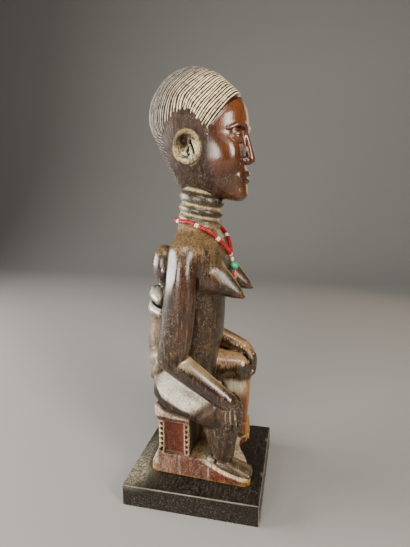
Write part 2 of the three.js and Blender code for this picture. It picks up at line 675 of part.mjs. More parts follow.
/** The whole carving as one solid, turned on the plinth. */
function carving() {
  const cut = ear();
  const hollows = [cut.hollow, mirrored(cut.hollow)];
  let body = join([head(), neck()].map(solid));
  for (const hollow of hollows) body = body.subtract(solid(hollow));
  const forms = [
    ...face(), cut.rim, mirrored(cut.rim), cut.fold, mirrored(cut.fold),
    torso(), breast(), mirrored(breast()),
    ...arm(-1, 0), ...arm(1, LEFT_KNEE_RISE), ...hand(-1, 0), ...hand(1, LEFT_KNEE_RISE),
    thigh(-1, 0), thigh(1, LEFT_KNEE_RISE), shin(-1, 0), shin(1, LEFT_KNEE_RISE), foot(-1),
    ...child(),
  ];
  body = join([body, ...forms.map(solid), slab(), stool(), brokenFoot()]);
  const around = [[-1, -1], [1, -1], [1, 1], [-1, 1]];
  const outline = around.map(([forward, left]) => [forward * PLINTH_SIDE, left * PLINTH_SIDE]);
  const aboveFloor = planCut(outline, PLINTH_HEIGHT, CROWN_HEIGHT + PLINTH_HEIGHT);
  const turned = geometryOf(body.intersect(solid(aboveFloor)));
  return turned.rotateZ(-FIGURE_TURN);
}

/** Black plinth with small chamfers round its top. */
function plinth() {
  const half = PLINTH_SIDE / 2;
  const square = (inset, up) => [
    new THREE.Vector3(inset - half, inset - half, up), new THREE.Vector3(half - inset, inset - half, up),
    new THREE.Vector3(half - inset, half - inset, up), new THREE.Vector3(inset - half, half - inset, up),
  ];
  return skin([
    square(0, 0), square(0, PLINTH_HEIGHT - PLINTH_CHAMFER), square(PLINTH_CHAMFER, PLINTH_HEIGHT),
  ]);
}

/** Height of the string of beads at an angle from the front. */
function necklaceHeight(degrees) {
  const swing = Math.min(degrees, 360 - degrees);
  const step = Math.max(NECKLACE_HEIGHTS.findIndex(([angle]) => angle >= swing), 1);
  const [fromAngle, fromUp] = NECKLACE_HEIGHTS[step - 1];
  const [toAngle, toUp] = NECKLACE_HEIGHTS[step];
  return THREE.MathUtils.mapLinear(swing, fromAngle, toAngle, fromUp, toUp);
}

/** Closed line of the necklace's middle, laid round the body just clear of it, starting at the front. */
function necklaceLine(body) {
  const ray = new THREE.Raycaster();
  const target = new THREE.Mesh(body);
  const upwards = at(0, 0, 1);
  const seats = Array.from({ length: NECKLACE_POINTS }, (_, k) => {
    const degrees = (360 * k) / NECKLACE_POINTS;
    const angle = THREE.MathUtils.degToRad(degrees);
    const out = at(Math.cos(angle), Math.sin(angle), 0).applyAxisAngle(upwards, -FIGURE_TURN);
    const axis = at(NECK_AXIS_FORWARD, 0, necklaceHeight(degrees)).applyAxisAngle(upwards, -FIGURE_TURN);
    const reach = [-1, -0.75, -0.4, 0, 0.4, 0.75, 1].map((share) => {
      const level = axis.clone().addScaledVector(upwards, share * BEAD_RADIUS);
      ray.set(level.clone().addScaledVector(out, 100), out.clone().negate());
      return 100 - ray.intersectObject(target)[0].distance + BEAD_RADIUS * Math.sqrt(1 - share * share);
    });
    return { axis, out, reach: Math.max(...reach) + BEAD_CLEARANCE };
  });
  const reachAt = (k) => seats[(k + NECKLACE_POINTS) % NECKLACE_POINTS].reach;
  return new THREE.CatmullRomCurve3(seats.map(({ axis, out, reach }, k) => (
    axis.clone().addScaledVector(out, Math.max(reach, (reachAt(k - 1) + reachAt(k + 1)) / 2))
  )), true);
}

/** Beads threaded next to each other along a line, each one widest in its middle. */
function beadRun(line, from, length, beads) {
  const rings = [];
  const total = line.getLength();
  for (let step = 0; step <= 2 * beads; step += 1) {
    const place = (((from + (length * step) / (2 * beads)) / total) % 1 + 1) % 1;
    const centre = line.getPointAt(place);
    const tangent = line.getTangentAt(place);
    const side = new THREE.Vector3().crossVectors(tangent, at(0, 0, 1)).normalize();
    const over = new THREE.Vector3().crossVectors(side, tangent);
    const reach = step % 2 ? BEAD_RADIUS : BEAD_RADIUS * BEAD_WAIST;
    const ring = [];
    for (let k = 0; k < BEAD_SIDES; k += 1) {
      const angle = (2 * Math.PI * k) / BEAD_SIDES;
      const out = centre.clone().addScaledVector(side, reach * Math.cos(angle));
      ring.push(out.addScaledVector(over, reach * Math.sin(angle)));
    }
    rings.push(ring);
  }
  return skin(rings);
}

/**
 * Bead hanging at the front of the necklace, from its middle (forward, up), its half width and half height,
 * its number of sides, and the shares of its width at the top and the bottom.
 */
function hangingBead([forward, up], halfWidth, halfHeight, sides, topShare, bottomShare) {
  const rows = [[1, topShare], [0.45, 1], [-0.45, 1], [-1, bottomShare]];
  return skin(rows.map(([place, share]) => Array.from({ length: sides }, (_, k) => {
    const angle = (2 * Math.PI * k) / sides;
    const reach = halfWidth * share;
    return at(forward + reach * Math.cos(angle), reach * Math.sin(angle), up + halfHeight * place);
  }))).rotateZ(-FIGURE_TURN);
}

const plain = (color, roughness) => new THREE.MeshStandardMaterial({ color, roughness, metalness: 0 });
const figureWood = plain(0x2f211a, 0.38);
const plinthWood = plain(0x1b1a1a, 0.5);
const redBead = plain(0xb3121a, 0.35);
const whiteBead = plain(0xd9d2bf, 0.45);
const paleBead = plain(0xb9b58c, 0.45);
const turquoiseBead = plain(0x2a9c7d, 0.4);
const coralBead = plain(0xc4512f, 0.4);

const figure = new THREE.Group();

function add(name, geometry, material) {
  const mesh = new THREE.Mesh(geometry, material);
  mesh.name = name;
  figure.add(mesh);
  return mesh;
}

const body = carving();
add('display_plinth', plinth(), plinthWood);
add('mother_and_child_figure', body, figureWood);

const line = necklaceLine(body);
const halfPendant = WHITE_BEAD_LENGTH / 2 + BEAD_GAP;
const pairLength = 2 * WHITE_BEAD_LENGTH;
const runShares = [...RUN_SHARES, ...RUN_SHARES.toReversed()];
const gaps = (runShares.length - 1) * (pairLength + 2 * BEAD_GAP);
const meanRun = (line.getLength() - 2 * halfPendant - gaps) / runShares.length;
let place = halfPendant;
runShares.forEach((share, index) => {
  const length = meanRun * share;
  const discs = Math.round(length / RED_DISC_LENGTH);
  add(`red_disc_beads_${index + 1}`, beadRun(line, place, length, discs), redBead);
  place += length + BEAD_GAP;
  if (index + 1 < runShares.length) {
    add(`white_bead_pair_${index + 1}`, beadRun(line, place, pairLength, 2), whiteBead);
    place += pairLength + BEAD_GAP;
  }
});
add('white_bead_front', beadRun(line, -WHITE_BEAD_LENGTH / 2, WHITE_BEAD_LENGTH, 1), whiteBead);
add('pale_pendant_bead', hangingBead(...PALE_BEAD), paleBead);
add('turquoise_pendant_bead', hangingBead(...TURQUOISE_BEAD), turquoiseBead);
add('coral_pendant_drop', hangingBead(...CORAL_DROP), coralBead);

export default figure;
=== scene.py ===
"""Looks of the seated mother with a child on her back: carved wood, painted stool, beads and plinth."""

import math

import bmesh
import bpy
import numpy as np
from mathutils import Matrix, Vector
from mathutils.bvhtree import BVHTree


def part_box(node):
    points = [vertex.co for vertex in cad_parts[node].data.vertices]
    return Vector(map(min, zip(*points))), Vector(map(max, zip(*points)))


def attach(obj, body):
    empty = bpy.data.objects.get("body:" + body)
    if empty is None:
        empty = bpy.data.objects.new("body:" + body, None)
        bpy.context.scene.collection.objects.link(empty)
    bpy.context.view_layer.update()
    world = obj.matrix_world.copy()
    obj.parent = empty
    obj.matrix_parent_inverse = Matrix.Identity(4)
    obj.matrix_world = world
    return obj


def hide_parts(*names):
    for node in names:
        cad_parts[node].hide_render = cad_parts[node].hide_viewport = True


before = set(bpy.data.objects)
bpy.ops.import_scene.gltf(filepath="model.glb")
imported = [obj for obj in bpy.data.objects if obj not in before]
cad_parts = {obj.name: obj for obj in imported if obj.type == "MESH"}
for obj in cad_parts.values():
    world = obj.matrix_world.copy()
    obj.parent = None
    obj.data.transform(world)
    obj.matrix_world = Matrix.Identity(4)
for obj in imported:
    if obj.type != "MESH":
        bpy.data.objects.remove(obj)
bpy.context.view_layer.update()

# Camera: where the photograph was taken from, in metres
CAMERA_AT = Vector((-0.3693, -0.0868, 0.2796))
CAMERA_FORWARD = Vector((0.9575, 0.2200, -0.1869))
CAMERA_ROLL = math.radians(-0.27)
CAMERA_LENS = 27.05

# Sizes in millimetres. Points of the figure are f, l and u: forward, left and up, as the mother sits.
MM = 0.001
FIGURE_TURN = math.radians(3.3)
TURN_COS, TURN_SIN = math.cos(FIGURE_TURN), math.sin(FIGURE_TURN)
COARSE = 1.0
MOST_TRIANGLES = 190000
KNEE_RISE = 18

# Plinth, as model.glb has it
plinth_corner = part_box("display_plinth")[1]
PLINTH_HALF = round(plinth_corner[0] / MM, 1)
PLINTH_HEIGHT = round(plinth_corner[2] / MM, 1)
PLINTH_ROUNDING = 0.8
PLINTH_FACE_LEAST = 1000

# Head
HEAD_CENTRE = (-5, 334)
HEAD_HALF_WIDTH = 32
CROWN_HEIGHT = 387.7
CHIN_HEIGHT = 275
FACE_FRONT = 41
HAIRLINE_TOP = (34, 0, 364)
FACE_THIRD = (HAIRLINE_TOP[2] + 1 - CHIN_HEIGHT) / 3
BROW = CHIN_HEIGHT + 2 * FACE_THIRD
NOSE_BASE = CHIN_HEIGHT + FACE_THIRD
MOUTH = CHIN_HEIGHT + 0.68 * FACE_THIRD
EYE_UP = BROW - 7.2
EYE_SPACING = 13
HEAD_OUTLINE = [
    (2, 279.5), (17, 276.5), (31, CHIN_HEIGHT), (37.5, CHIN_HEIGHT + 4),
    (FACE_FRONT - 1.5, CHIN_HEIGHT + 11), (FACE_FRONT - 1.5, MOUTH + 1), (FACE_FRONT - 2, NOSE_BASE + 5),
    (FACE_FRONT - 2.2, BROW - 7), (FACE_FRONT + 0.6, BROW + 1), (FACE_FRONT + 0.3, BROW + 13),
    (38, BROW + 22), (HAIRLINE_TOP[0] - 0.4, HAIRLINE_TOP[2] - 0.2),
    (25.5, 371.5), (13, 381.6), (-6, CROWN_HEIGHT), (-24, 384), (-37, 373.6),
    (-45.6, 359.6), (-47.3, 342), (-39.6, 323), (-31.1, 305), (-22.8, 290), (-14, 283),
]

# Ear: its middle, half its length and height, and in radians how far it turns out and leans
EAR = (-4.7, 30.0, 318.7)
EAR_HALF = (12.5, 14.0)
EAR_TURN = 0.16
EAR_LEAN = 0.1

# Hair, and the bare patch round the ear
HAIR_START = (13.5, 28, 333.5)
HAIR_PITCH = 2.15
HAIR_WIDENING = 0.014
HAIR_RELIEF = 1.1
HAIR_STEP = 1.5
HAIR_BOTTOM = 279
NAPE_PITCH = 2.5
PATCH_CENTRE = (-7.5, 322)
PATCH_REACH = (22, 25)

# Body: heights of the neck's grooves, and rows of forward and height along the lower edge of the right
# thigh's flat facet, painted pale as a highlight, and of the right forearm
NECK_GROOVES = (283.5, 270.6, 261.6)
THIGH_BORDER = ((-42, -35, -27.5, -6.7, 2, 6.9, 12, 17.7, 22, 26),
                (120, 111, 97.8, 89, 88.4, 89.2, 92.3, 97, 103, 112))
FOREARM_LOW = ((-17, -6, 10, 24, 34), (123, 116.5, 106, 98, 92))

# Stool and slab
STOOL_BACK = -33
STOOL_FRONT = -3
STOOL_HALF = 38
SEAT_BOTTOM = 74.5
TEETH = 6
PANEL = (STOOL_BACK + 5.2, STOOL_FRONT - 5.2, 41.5, SEAT_BOTTOM - 1.5)
TOOTH_PITCH = (PANEL[3] - PANEL[2] - 1) / TEETH
SLAB_BACK = -42
SLAB_TOE = 54.5
SLAB_HALF = 40
SLAB_CORNER = 7
SLAB_TOP = [(SLAB_BACK, 28), (-37.5, 36), (-33, 46), (-8, 41), (12, 41), (21, 36.5), (31, 32.5), (44, 29.3),
            (SLAB_TOE, 28.5)]
SLAB_FRONT = [(51.5, -25), (48, -16), (45, -9), (41.5, -3), (38, 2), (34.6, 9), (34, 15), (34.5, 24),
              (38.5, 31), (39.5, 39)]

# Necklace: seats are places round the neck, heights go by degrees from the front, and rays are in metres
BEAD_RADIUS = 2.05
RED_DISC = 2.3
WHITE_BEAD = 1.9
BEAD_GAP = 0.3
BEAD_CLEARANCE = 0.35
RUN_SHARES = (1.2, 1.05, 0.95, 0.8, 0.8, 0.95, 1.05, 1.2)
NECKLACE_SEATS = 48
NECK_MIDDLE = -2.0
RAY_LENGTH = 0.1
NECKLACE_HEIGHTS = ((0, 22, 43, 60, 96, 180), (227, 235.5, 244, 250, 256.5, 258))

CORNERS = [(n & 1, n >> 1 & 1, n >> 2 & 1) for n in range(8)]


def to_row(points):
    """Points of the figure in millimetres as points of the row frame in metres."""
    f, l, u = np.transpose(points)
    return np.stack([l * TURN_COS - f * TURN_SIN, -f * TURN_COS - l * TURN_SIN, u], 1) * MM


def figure_points(mesh):
    """Points of a mesh in the figure's own directions, in millimetres."""
    co = np.zeros(len(mesh.vertices) * 3, np.float32)
    mesh.vertices.foreach_get("co", co)
    x, y, z = (co.reshape(-1, 3) / MM).T
    return np.stack([-y * TURN_COS - x * TURN_SIN, x * TURN_COS - y * TURN_SIN, z], 1)


def step_up(value, low, high):
    """Smooth rise from 0 at low to 1 at high."""
    t = np.clip((value - low) / (high - low), 0, 1)
    return t * t * (3 - 2 * t)


def step_down(value, low, high):
    """Smooth fall from 1 at low to 0 at high."""
    return 1 - step_up(value, low, high)


def bell(points, centre, reach):
    """Soft spot that is 1 at its centre and fades over its reach."""
    return np.exp(-sum(((points[:, i] - centre[i]) / reach[i]) ** 2 for i in range(3)))


def stripe(value, middle, width):
    """Soft stripe that is 1 at its middle and fades over its width."""
    return np.exp(-((value - middle) / width) ** 2)


def unit(way):
    return way / np.linalg.norm(way)


def dot(parts, way):
    return parts[0] * way[0] + parts[1] * way[1] + parts[2] * way[2]


def spline(rows, steps, closed=False):
    """Smooth curve through rows of numbers."""
    rows = np.array(rows, float)
    before, after = [rows[-1:], rows[:2]] if closed else [2 * rows[0] - rows[1], 2 * rows[-1] - rows[-2]]
    padded = np.vstack([before, rows, after])
    made = []
    for i in range(len(padded) - 3):
        a, b, c, d = padded[i:i + 4]
        for t in np.arange(steps) / steps:
            made.append(0.5 * (2 * b + (c - a) * t + (2 * a - 5 * b + 4 * c - d) * t ** 2
                               + (3 * b - a - 3 * c + d) * t ** 3))
    made.append(padded[-2])
    return np.array(made)


def soft_min(a, b, blend):
    """Smaller of two distances, rounded where they meet."""
    share = np.clip(0.5 + 0.5 * (b - a) / blend, 0, 1)
    return b + (a - b) * share - blend * share * (1 - share)


# A form is its lowest corner, its highest corner and its distance function, which is below 0 inside.
class Field:
    """Distance to a carved body on a grid, in millimetres, below 0 inside."""

    def __init__(self, low, high, step):
        self.low, self.step = np.array(low, float), step
        self.axes = [np.arange(low[i], high[i] + step, step) for i in range(3)]
        self.values = np.full([len(a) for a in self.axes], 30.0, np.float32)

    def grid(self, cuts=(slice(None),) * 3):
        """Places forward, left and up in a part of the grid."""
        return np.ix_(*(axis[cut].astype(np.float32) for axis, cut in zip(self.axes, cuts)))

    def add(self, form, blend=1.0, mirror=False):
        self.change(form, blend, mirror, 1)

    def cut(self, form, blend=1.0, mirror=False):
        self.change(form, blend, mirror, -1)

    def change(self, form, blend, mirror, way):
        """Joins a form on, or cuts it out. The blend that rounds the join is a number or a function."""
        low, high, distance = form
        if mirror:
            low = (low[0], -high[1], low[2])
        margin = 14 if callable(blend) else max(6, blend) + 2
        cuts = tuple(slice(np.searchsorted(axis, a - margin), np.searchsorted(axis, b + margin))
                     for axis, a, b in zip(self.axes, low, high))
        f, l, u = self.grid(cuts)
        amount = distance(f, np.abs(l) if mirror else l, u).astype(np.float32)
        depth = blend(f, l, u) if callable(blend) else blend
        self.values[cuts] = way * soft_min(way * self.values[cuts], amount, depth)

    def sample(self, points):
        """Distance at each point, blended between the points of the grid."""
        place = np.clip((points - self.low) / self.step, 0, np.array(self.values.shape) - 1.001)
        base = place.astype(int)
        t = place - base
        total = np.zeros(len(points))
        for corner in CORNERS:
            weight = np.prod(np.where(corner, t, 1 - t), 1)
            total += weight * self.values[tuple((base + corner).T)]
        return total

    def slope(self, points):
        half = 0.5 * self.step
        return np.stack([(self.sample(points + way) - self.sample(points - way)) / (2 * half)
                         for way in np.eye(3) * half], 1)

    def skin(self):
        """Points and four-sided faces of the surface."""
        inside = self.values < 0
        count = np.zeros([n - 1 for n in inside.shape], np.int8)
        for corner in CORNERS:
            count += inside[tuple(slice(c, c + n) for c, n in zip(corner, count.shape))]
        cells = np.argwhere((count > 0) & (count < 8))
        number = np.full(count.shape, -1, np.int32)
        number[tuple(cells.T)] = np.arange(len(cells))
        total, crossings = np.zeros((len(cells), 3)), np.zeros(len(cells))
        for axis, way in enumerate(np.eye(3, dtype=int)):
            for edge in range(4):
                start = np.insert([edge & 1, edge >> 1], axis, 0)
                a, b = (self.values[tuple((cells + end).T)] for end in (start, start + way))
                crossed = (a < 0) != (b < 0)
                t = np.where(crossed, a / np.where(crossed, a - b, 1), 0)
                total += np.where(crossed[:, None], start + t[:, None] * way, 0)
                crossings += crossed
        points = self.low + (cells + total / crossings[:, None]) * self.step
        faces = [self.walls(inside, number, axis) for axis in range(3)]
        for _ in range(2):
            slope = self.slope(points)
            length = np.maximum((slope ** 2).sum(1), 0.05)
            move = slope * (self.sample(points) / length)[:, None]
            size = np.linalg.norm(move, axis=1, keepdims=True)
            points = points - move * np.minimum(1, 0.4 * self.step / np.maximum(size, 1e-9))
        return points, np.vstack(faces)

    def walls(self, inside, number, axis):
        """Faces between the numbered cells, across each step along one axis that the surface crosses."""
        lower, upper = np.delete(inside, -1, axis), np.delete(inside, 0, axis)
        edges = np.argwhere(lower != upper)
        others = [(axis + 1) % 3, (axis + 2) % 3]
        most = np.array(inside.shape)[others] - 1
        edges = edges[((edges[:, others] > 0) & (edges[:, others] < most)).all(1)]
        ring = []
        for shift in ((-1, -1), (0, -1), (0, 0), (-1, 0)):
            cell = edges.copy()
            cell[:, others] += shift
            ring.append(number[tuple(cell.T)])
        quad = np.stack(ring, 1)
        inward = ~lower[tuple(edges.T)]
        quad[inward] = quad[inward][:, ::-1]
        return quad


def egg(x, y, z, a, b, c):
    """Distance to an ellipsoid round the origin with radii a, b and c."""
    scaled = np.sqrt((x / a) ** 2 + (y / b) ** 2 + (z / c) ** 2)
    steep = np.sqrt((x / a ** 2) ** 2 + (y / b ** 2) ** 2 + (z / c ** 2) ** 2)
    return scaled * (scaled - 1) / np.maximum(steep, 1e-4)


def ellipsoid(centre, radii):
    low, high = np.subtract(centre, radii), np.add(centre, radii)
    return low, high, lambda f, l, u: egg(f - centre[0], l - centre[1], u - centre[2], *radii)


def limb(stations, across=(0, 1, 0), ends=(0.9, 0.9), steps=4):
    """Rounded form along stations forward, left, up, radius along `across` and radius square to it."""
    rows = spline([list(s) + [s[3]] * (5 - len(s)) for s in stations], steps)
    reach = rows[:, 3:].max(1)[:, None]
    low, high = (rows[:, :3] - reach).min(0), (rows[:, :3] + reach).max(0)

    def distance(f, l, u):
        best = np.full(np.broadcast_shapes(f.shape, l.shape, u.shape), 30.0, np.float32)
        for i, (a, b) in enumerate(zip(rows[:-1], rows[1:])):
            around = max(a[3:].max(), b[3:].max()) + 8
            cuts = []
            for places, near, far in zip((f, l, u), np.minimum(a, b) - around, np.maximum(a, b) + around):
                inside = np.nonzero((places.ravel() >= near) & (places.ravel() <= far))[0]
                cuts.append(slice(inside[0], inside[-1] + 1) if len(inside) else slice(0, 0))
            offset = f[cuts[0]] - a[0], l[:, cuts[1]] - a[1], u[:, :, cuts[2]] - a[2]
            length = np.linalg.norm(b[:3] - a[:3])
            tangent = (b[:3] - a[:3]) / length
            first = unit(across - tangent * np.dot(across, tangent))
            second = np.cross(tangent, first)
            along = dot(offset, tangent)
            t = np.clip(along / length, 0, 1)
            wide = a[3] + t * (b[3] - a[3])
            deep = a[4] + t * (b[4] - a[4])
            cap = np.minimum(wide, deep)
            if i == 0:
                cap = np.where(along < 0, cap * ends[0], cap)
            if i == len(rows) - 2:
                cap = np.where(along > length, cap * ends[1], cap)
            part = egg(dot(offset, first), dot(offset, second), along - t * length, wide, deep, cap)
            best[tuple(cuts)] = np.minimum(best[tuple(cuts)], part)
        return best
    return low, high, distance


def stack(sections, power=2.3, slope=0.0, steps=5):
    """Form of sections up, front, back and half width, sloping down to the front by `slope`."""
    heights, fronts, backs, halves = spline(sections, steps).T
    low = (backs.min(), -halves.max(), heights.min() - slope * fronts.max())
    high = (fronts.max(), halves.max(), heights.max() - slope * backs.min())

    def distance(f, l, u):
        level = u + slope * f
        front, back, half = (np.interp(level, heights, row) for row in (fronts, backs, halves))
        deep = (front - back) / 2
        x, y = np.abs(f - (front + back) / 2) / deep, np.abs(l) / half
        ring = (x ** power + y ** power + 1e-6) ** (1 / power)
        pull = (x ** (power - 1) / deep) ** 2 + (y ** (power - 1) / half) ** 2
        pull = np.sqrt(pull) / ring ** (power - 1)
        side = (ring - 1) / np.maximum(pull, 0.01)
        return np.maximum(side, np.maximum(heights[0] - level, level - heights[-1]))
    return low, high, distance


def outline_distance(outline, x, y):
    """Distance from a closed outline in a plane, below 0 inside."""
    best = np.full(np.broadcast_shapes(x.shape, y.shape), 1e9)
    within = np.zeros(best.shape, bool)
    for (ax, ay), (bx, by) in zip(outline, outline[1:] + outline[:1]):
        ex, ey = bx - ax, by - ay
        t = np.clip(((x - ax) * ex + (y - ay) * ey) / (ex * ex + ey * ey), 0, 1)
        best = np.minimum(best, (x - ax - t * ex) ** 2 + (y - ay - t * ey) ** 2)
        if ay != by:
            level = (y >= min(ay, by)) & (y < max(ay, by))
            within ^= level & (x < ax + (y - ay) * ex / ey)
    return np.where(within, -1, 1) * np.sqrt(best)


def rectangle(first, last, low, high):
    return [(first, low), (last, low), (last, high), (first, high)]


def prism(outline, plane, span, rounding=0.6):
    """Flat outline drawn in two directions (0 forward, 1 left, 2 up) and made thick along the third."""
    third = 3 - plane[0] - plane[1]
    low = np.insert(np.min(outline, 0).astype(float), third, span[0])
    high = np.insert(np.max(outline, 0).astype(float), third, span[1])

    def distance(*axes):
        flat = outline_distance(outline, axes[plane[0]], axes[plane[1]]) + rounding
        thick = np.abs(axes[third] - sum(span) / 2) - (span[1] - span[0]) / 2 + rounding
        outer = np.sqrt(np.maximum(flat, 0) ** 2 + np.maximum(thick, 0) ** 2)
        return outer + np.minimum(np.maximum(flat, thick), 0) - rounding
    return low, high, distance


def flattened(form, side, slope, level, blend):
    """Form cut flat where outward plus slope[0] of forward plus slope[1] of up passes a level."""
    low, high, distance = form
    size = math.sqrt(1 + slope[0] ** 2 + slope[1] ** 2)

    def cut(f, l, u):
        facet = (side * l + slope[0] * f + slope[1] * u - level) / size
        return -soft_min(-distance(f, l, u), -facet, blend)
    return low, high, cut


def on_side(side, stations, lift=0, shares=None):
    """Stations of her left limb put on a side (-1 right, 1 left), each raised by its share of a lift."""
    shares = shares or [1] * len(stations)
    return [(f, l * side, u + lift * share, *radii) for (f, l, u, *radii), share in zip(stations, shares)]


def off_middle(left):
    """How far a place is from her middle, with the turn over the middle made round."""
    return np.hypot(left, 3) - 3


def hair_distance(f, l, u):
    """Distance behind the hairline, below 0 on the face. Far back it also curves round the middle."""
    way = unit(np.array([HAIRLINE_TOP[0] - HAIR_START[0], HAIRLINE_TOP[2] - HAIR_START[2]]))
    x, z = f - HAIR_START[0], u - HAIR_START[2]
    turning = 15 * step_up(z * way[0] - x * way[1], 4, 30)
    along = np.maximum(x * way[0] + z * way[1], turning)
    away = np.hypot(x - along * way[0], z - along * way[1])
    ahead = np.where(along > 0, x * way[1] - z * way[0], x)
    inward = np.maximum(off_middle(HAIR_START[1]) - off_middle(l), 0)
    return np.where(ahead > 0, -away, away + inward * step_up(away, 8, 72))


def hair_strand(behind, f, u):
    """Number of the hair ridge at a distance behind the hairline. Ridges widen to the back and sway a
    little, and on the nape they slant."""
    sway = 0.32 * np.sin(0.19 * u + 0.11 * f) + 0.2 * np.sin(0.43 * f - 0.2 * u)
    place = np.maximum(behind, -5) + sway * step_up(behind, 1, 8)
    level = np.log(1 + HAIR_WIDENING * place / HAIR_PITCH) / HAIR_WIDENING + 0.1 * np.sin(1.3 * behind)
    slanting = (u + 0.55 * f) / NAPE_PITCH + 0.15 * np.sin(0.7 * (u - f))
    return np.where((u < 331 + 1.5 * np.sin(1.1 * f)) & (behind > 30), slanting, level)


def hair_share(f, l, u):
    """How much hair a place on the head carries: none round the ear and under the nape."""
    strand = np.floor(hair_strand(hair_distance(f, l, u), f, u))
    ragged = 0.07 * np.sin(strand * 12.9898) + 0.05 * np.sin(strand * 4.1)
    below = np.maximum(PATCH_CENTRE[1] - u, 0)
    above = np.maximum(u - PATCH_CENTRE[1], 0) / PATCH_REACH[1]
    behind = (PATCH_CENTRE[0] - f) / (PATCH_REACH[0] - 0.38 * below)
    ahead = np.where(below > 0, 0, -behind)
    around = np.sqrt(np.maximum(np.maximum(behind, ahead), 0) ** 2 + above ** 2) + ragged
    patch = np.where(np.abs(l) > 0.3 * HEAD_HALF_WIDTH, step_up(around, 0.99, 1.05), 1)
    return patch * step_up(u, 285.5, 288.5)


def head_field():
    field = Field((-52, -36, 268), (52, 36, 392), 0.52 * COARSE)
    f, l, u = field.grid()
    rim = spline(HEAD_OUTLINE + HEAD_OUTLINE[:1], 8)[:-1] - HEAD_CENTRE
    angle, radius = np.arctan2(rim[:, 1], rim[:, 0]), np.hypot(rim[:, 1], rim[:, 0])
    order = np.argsort(angle)
    x, z = f - HEAD_CENTRE[0], u - HEAD_CENTRE[1]
    turn = np.arctan2(z, x)
    reach = np.interp(turn, angle[order], radius[order], period=2 * math.pi)
    share = np.hypot(x, z) / reach
    rim_forward = HEAD_CENTRE[0] + reach * np.cos(turn)
    rim_up = HEAD_CENTRE[1] + reach * np.sin(turn)
    narrow = 0.22 * step_up(HEAD_CENTRE[1] - 8 - rim_up, 0, 45) + 0.1 * step_up(rim_forward, 5, 40)
    side = np.abs(l) / (HEAD_HALF_WIDTH * (1 - narrow * np.minimum(share, 1)))
    power = 2.35 - 0.35 * np.maximum(step_up(rim_up, 345, 368), step_down(rim_forward, -20, 8))
    ring = (share ** power + side ** power + 1e-6) ** (1 / power)
    steep = np.sqrt(sum(part ** 2 for part in np.gradient(ring.astype(np.float32), field.step)))
    field.values = ((ring - 1) / np.maximum(steep, 0.012)).astype(np.float32)
    face(field)
    hair(field)
    ears(field)
    return field


def on_face(up, stations):
    """Rounded form along stations given from the face's front and from a height."""
    return limb([(FACE_FRONT + f, l, up + u, *radii) for f, l, u, *radii in stations])


def face(field):
    """Face of plain proportions."""
    add, cut = field.add, field.cut
    cut(ellipsoid((FACE_FRONT + 2.2, EYE_SPACING + 0.5, EYE_UP + 0.6), (7.2, 10, 7.4)), 4, True)
    add(ellipsoid((24, 17.6, 313), (13, 8.5, 13)), 10, True)
    add(ellipsoid((34.6, 0, 281.5), (6, 9, 6.5)), 5, True)
    add(ellipsoid((35.5, 0, MOUTH), (4.8, 12.5, 8)), 5, True)
    eye = (FACE_FRONT - 8.6, EYE_SPACING, EYE_UP)
    add(ellipsoid(eye, (7.4, 8.4, 6.6)), 0.5, True)
    low, high, shell = ellipsoid(eye, (8.4, 9.4, 7.6))

    def lids(f, l, u):
        wide = np.clip(1 - ((l - EYE_SPACING) / 7.6) ** 2, 0, 1)
        slit = np.minimum(EYE_UP + 3.0 * wide - u, u - EYE_UP + 2.1 * wide)
        return np.maximum(shell(f, l, u), 0.8 * slit)
    add((low, high, lids), 0.4, True)
    cut(on_face(EYE_UP, [(-3.4, 5.5, 1.4, 0.6), (-1.2, EYE_SPACING, 5.9, 0.7),
                         (-5.2, EYE_SPACING + 6.6, 3.4, 0.4)]), 0.9, True)
    add(on_face(BROW, [(-0.6, 3.2, -0.8, 1.5), (-0.9, 9, 1.8, 1.9), (-4.2, EYE_SPACING + 4, 2.0, 1.6),
                       (-11, EYE_SPACING + 9.5, -1.5, 0.8)]), 3.0, True)
    add(on_face(NOSE_BASE, [(-3.2, 0, FACE_THIRD - 1, 3.2, 3.0), (-0.6, 0, FACE_THIRD - 12, 3.2, 3.6),
                            (1.8, 0, 8, 4.0, 4.2), (2.4, 0, 5, 4.4, 4.4)]), 2.6, True)
    add(ellipsoid((FACE_FRONT - 0.4, 5.4, NOSE_BASE + 3.8), (4.0, 3.2, 3.2)), 1.6, True)
    cut(ellipsoid((FACE_FRONT + 1.2, 3.4, NOSE_BASE + 0.2), (2.4, 1.7, 2.0)), 0.6, True)
    cut(on_face(MOUTH, [(0.4, 0, 8, 0.8), (0.4, 0, 4.6, 1.0)]), 1.2, True)
    add(on_face(MOUTH, [(-5.4, 10.2, -0.4, 0.8), (-1.8, 6, 1.5, 1.9), (-0.2, 2.2, 2.5, 2.3),
                        (-0.2, 0, 2.0, 2.1)]), 0.7, True)
    add(on_face(MOUTH, [(-5.2, 9.4, -1.0, 0.9), (-1.9, 5, -2.8, 2.2), (-0.8, 0, -3.3, 2.7)]), 0.7, True)
    cut(on_face(MOUTH, [(-2.4, 8.6, -0.6, 0.3), (-0.2, 5.0, -0.5, 0.5), (1.7, 0, -0.7, 0.6)]), 0.6, True)


def hair(field):
    """Fine carved ridges, set above the face by a step and a groove."""
    f, l, u = field.grid()
    behind, share = hair_distance(f, l, u), hair_share(f, l, u)
    on_hair = step_up(behind, -0.25, 0.35)
    place = hair_strand(behind, f, u)
    ridge = 1 - np.abs(2 * (place - np.floor(place)) - 1) ** 1.8
    groove = (0.55 + 1.1 * step_up(u, 352, 362)) * stripe(behind, -1.1, 0.8) * step_up(u, 334, 338)
    field.values += (0.55 * HAIR_STEP * (1 - on_hair) * step_up(u, 330, 345) + groove).astype(np.float32)
    field.values -= (on_hair * share * (HAIR_RELIEF * (ridge - 0.62)) * (u > HAIR_BOTTOM)).astype(np.float32)
    field.values += (0.5 * on_hair * (1 - share) * step_up(u, 318, 334)).astype(np.float32)


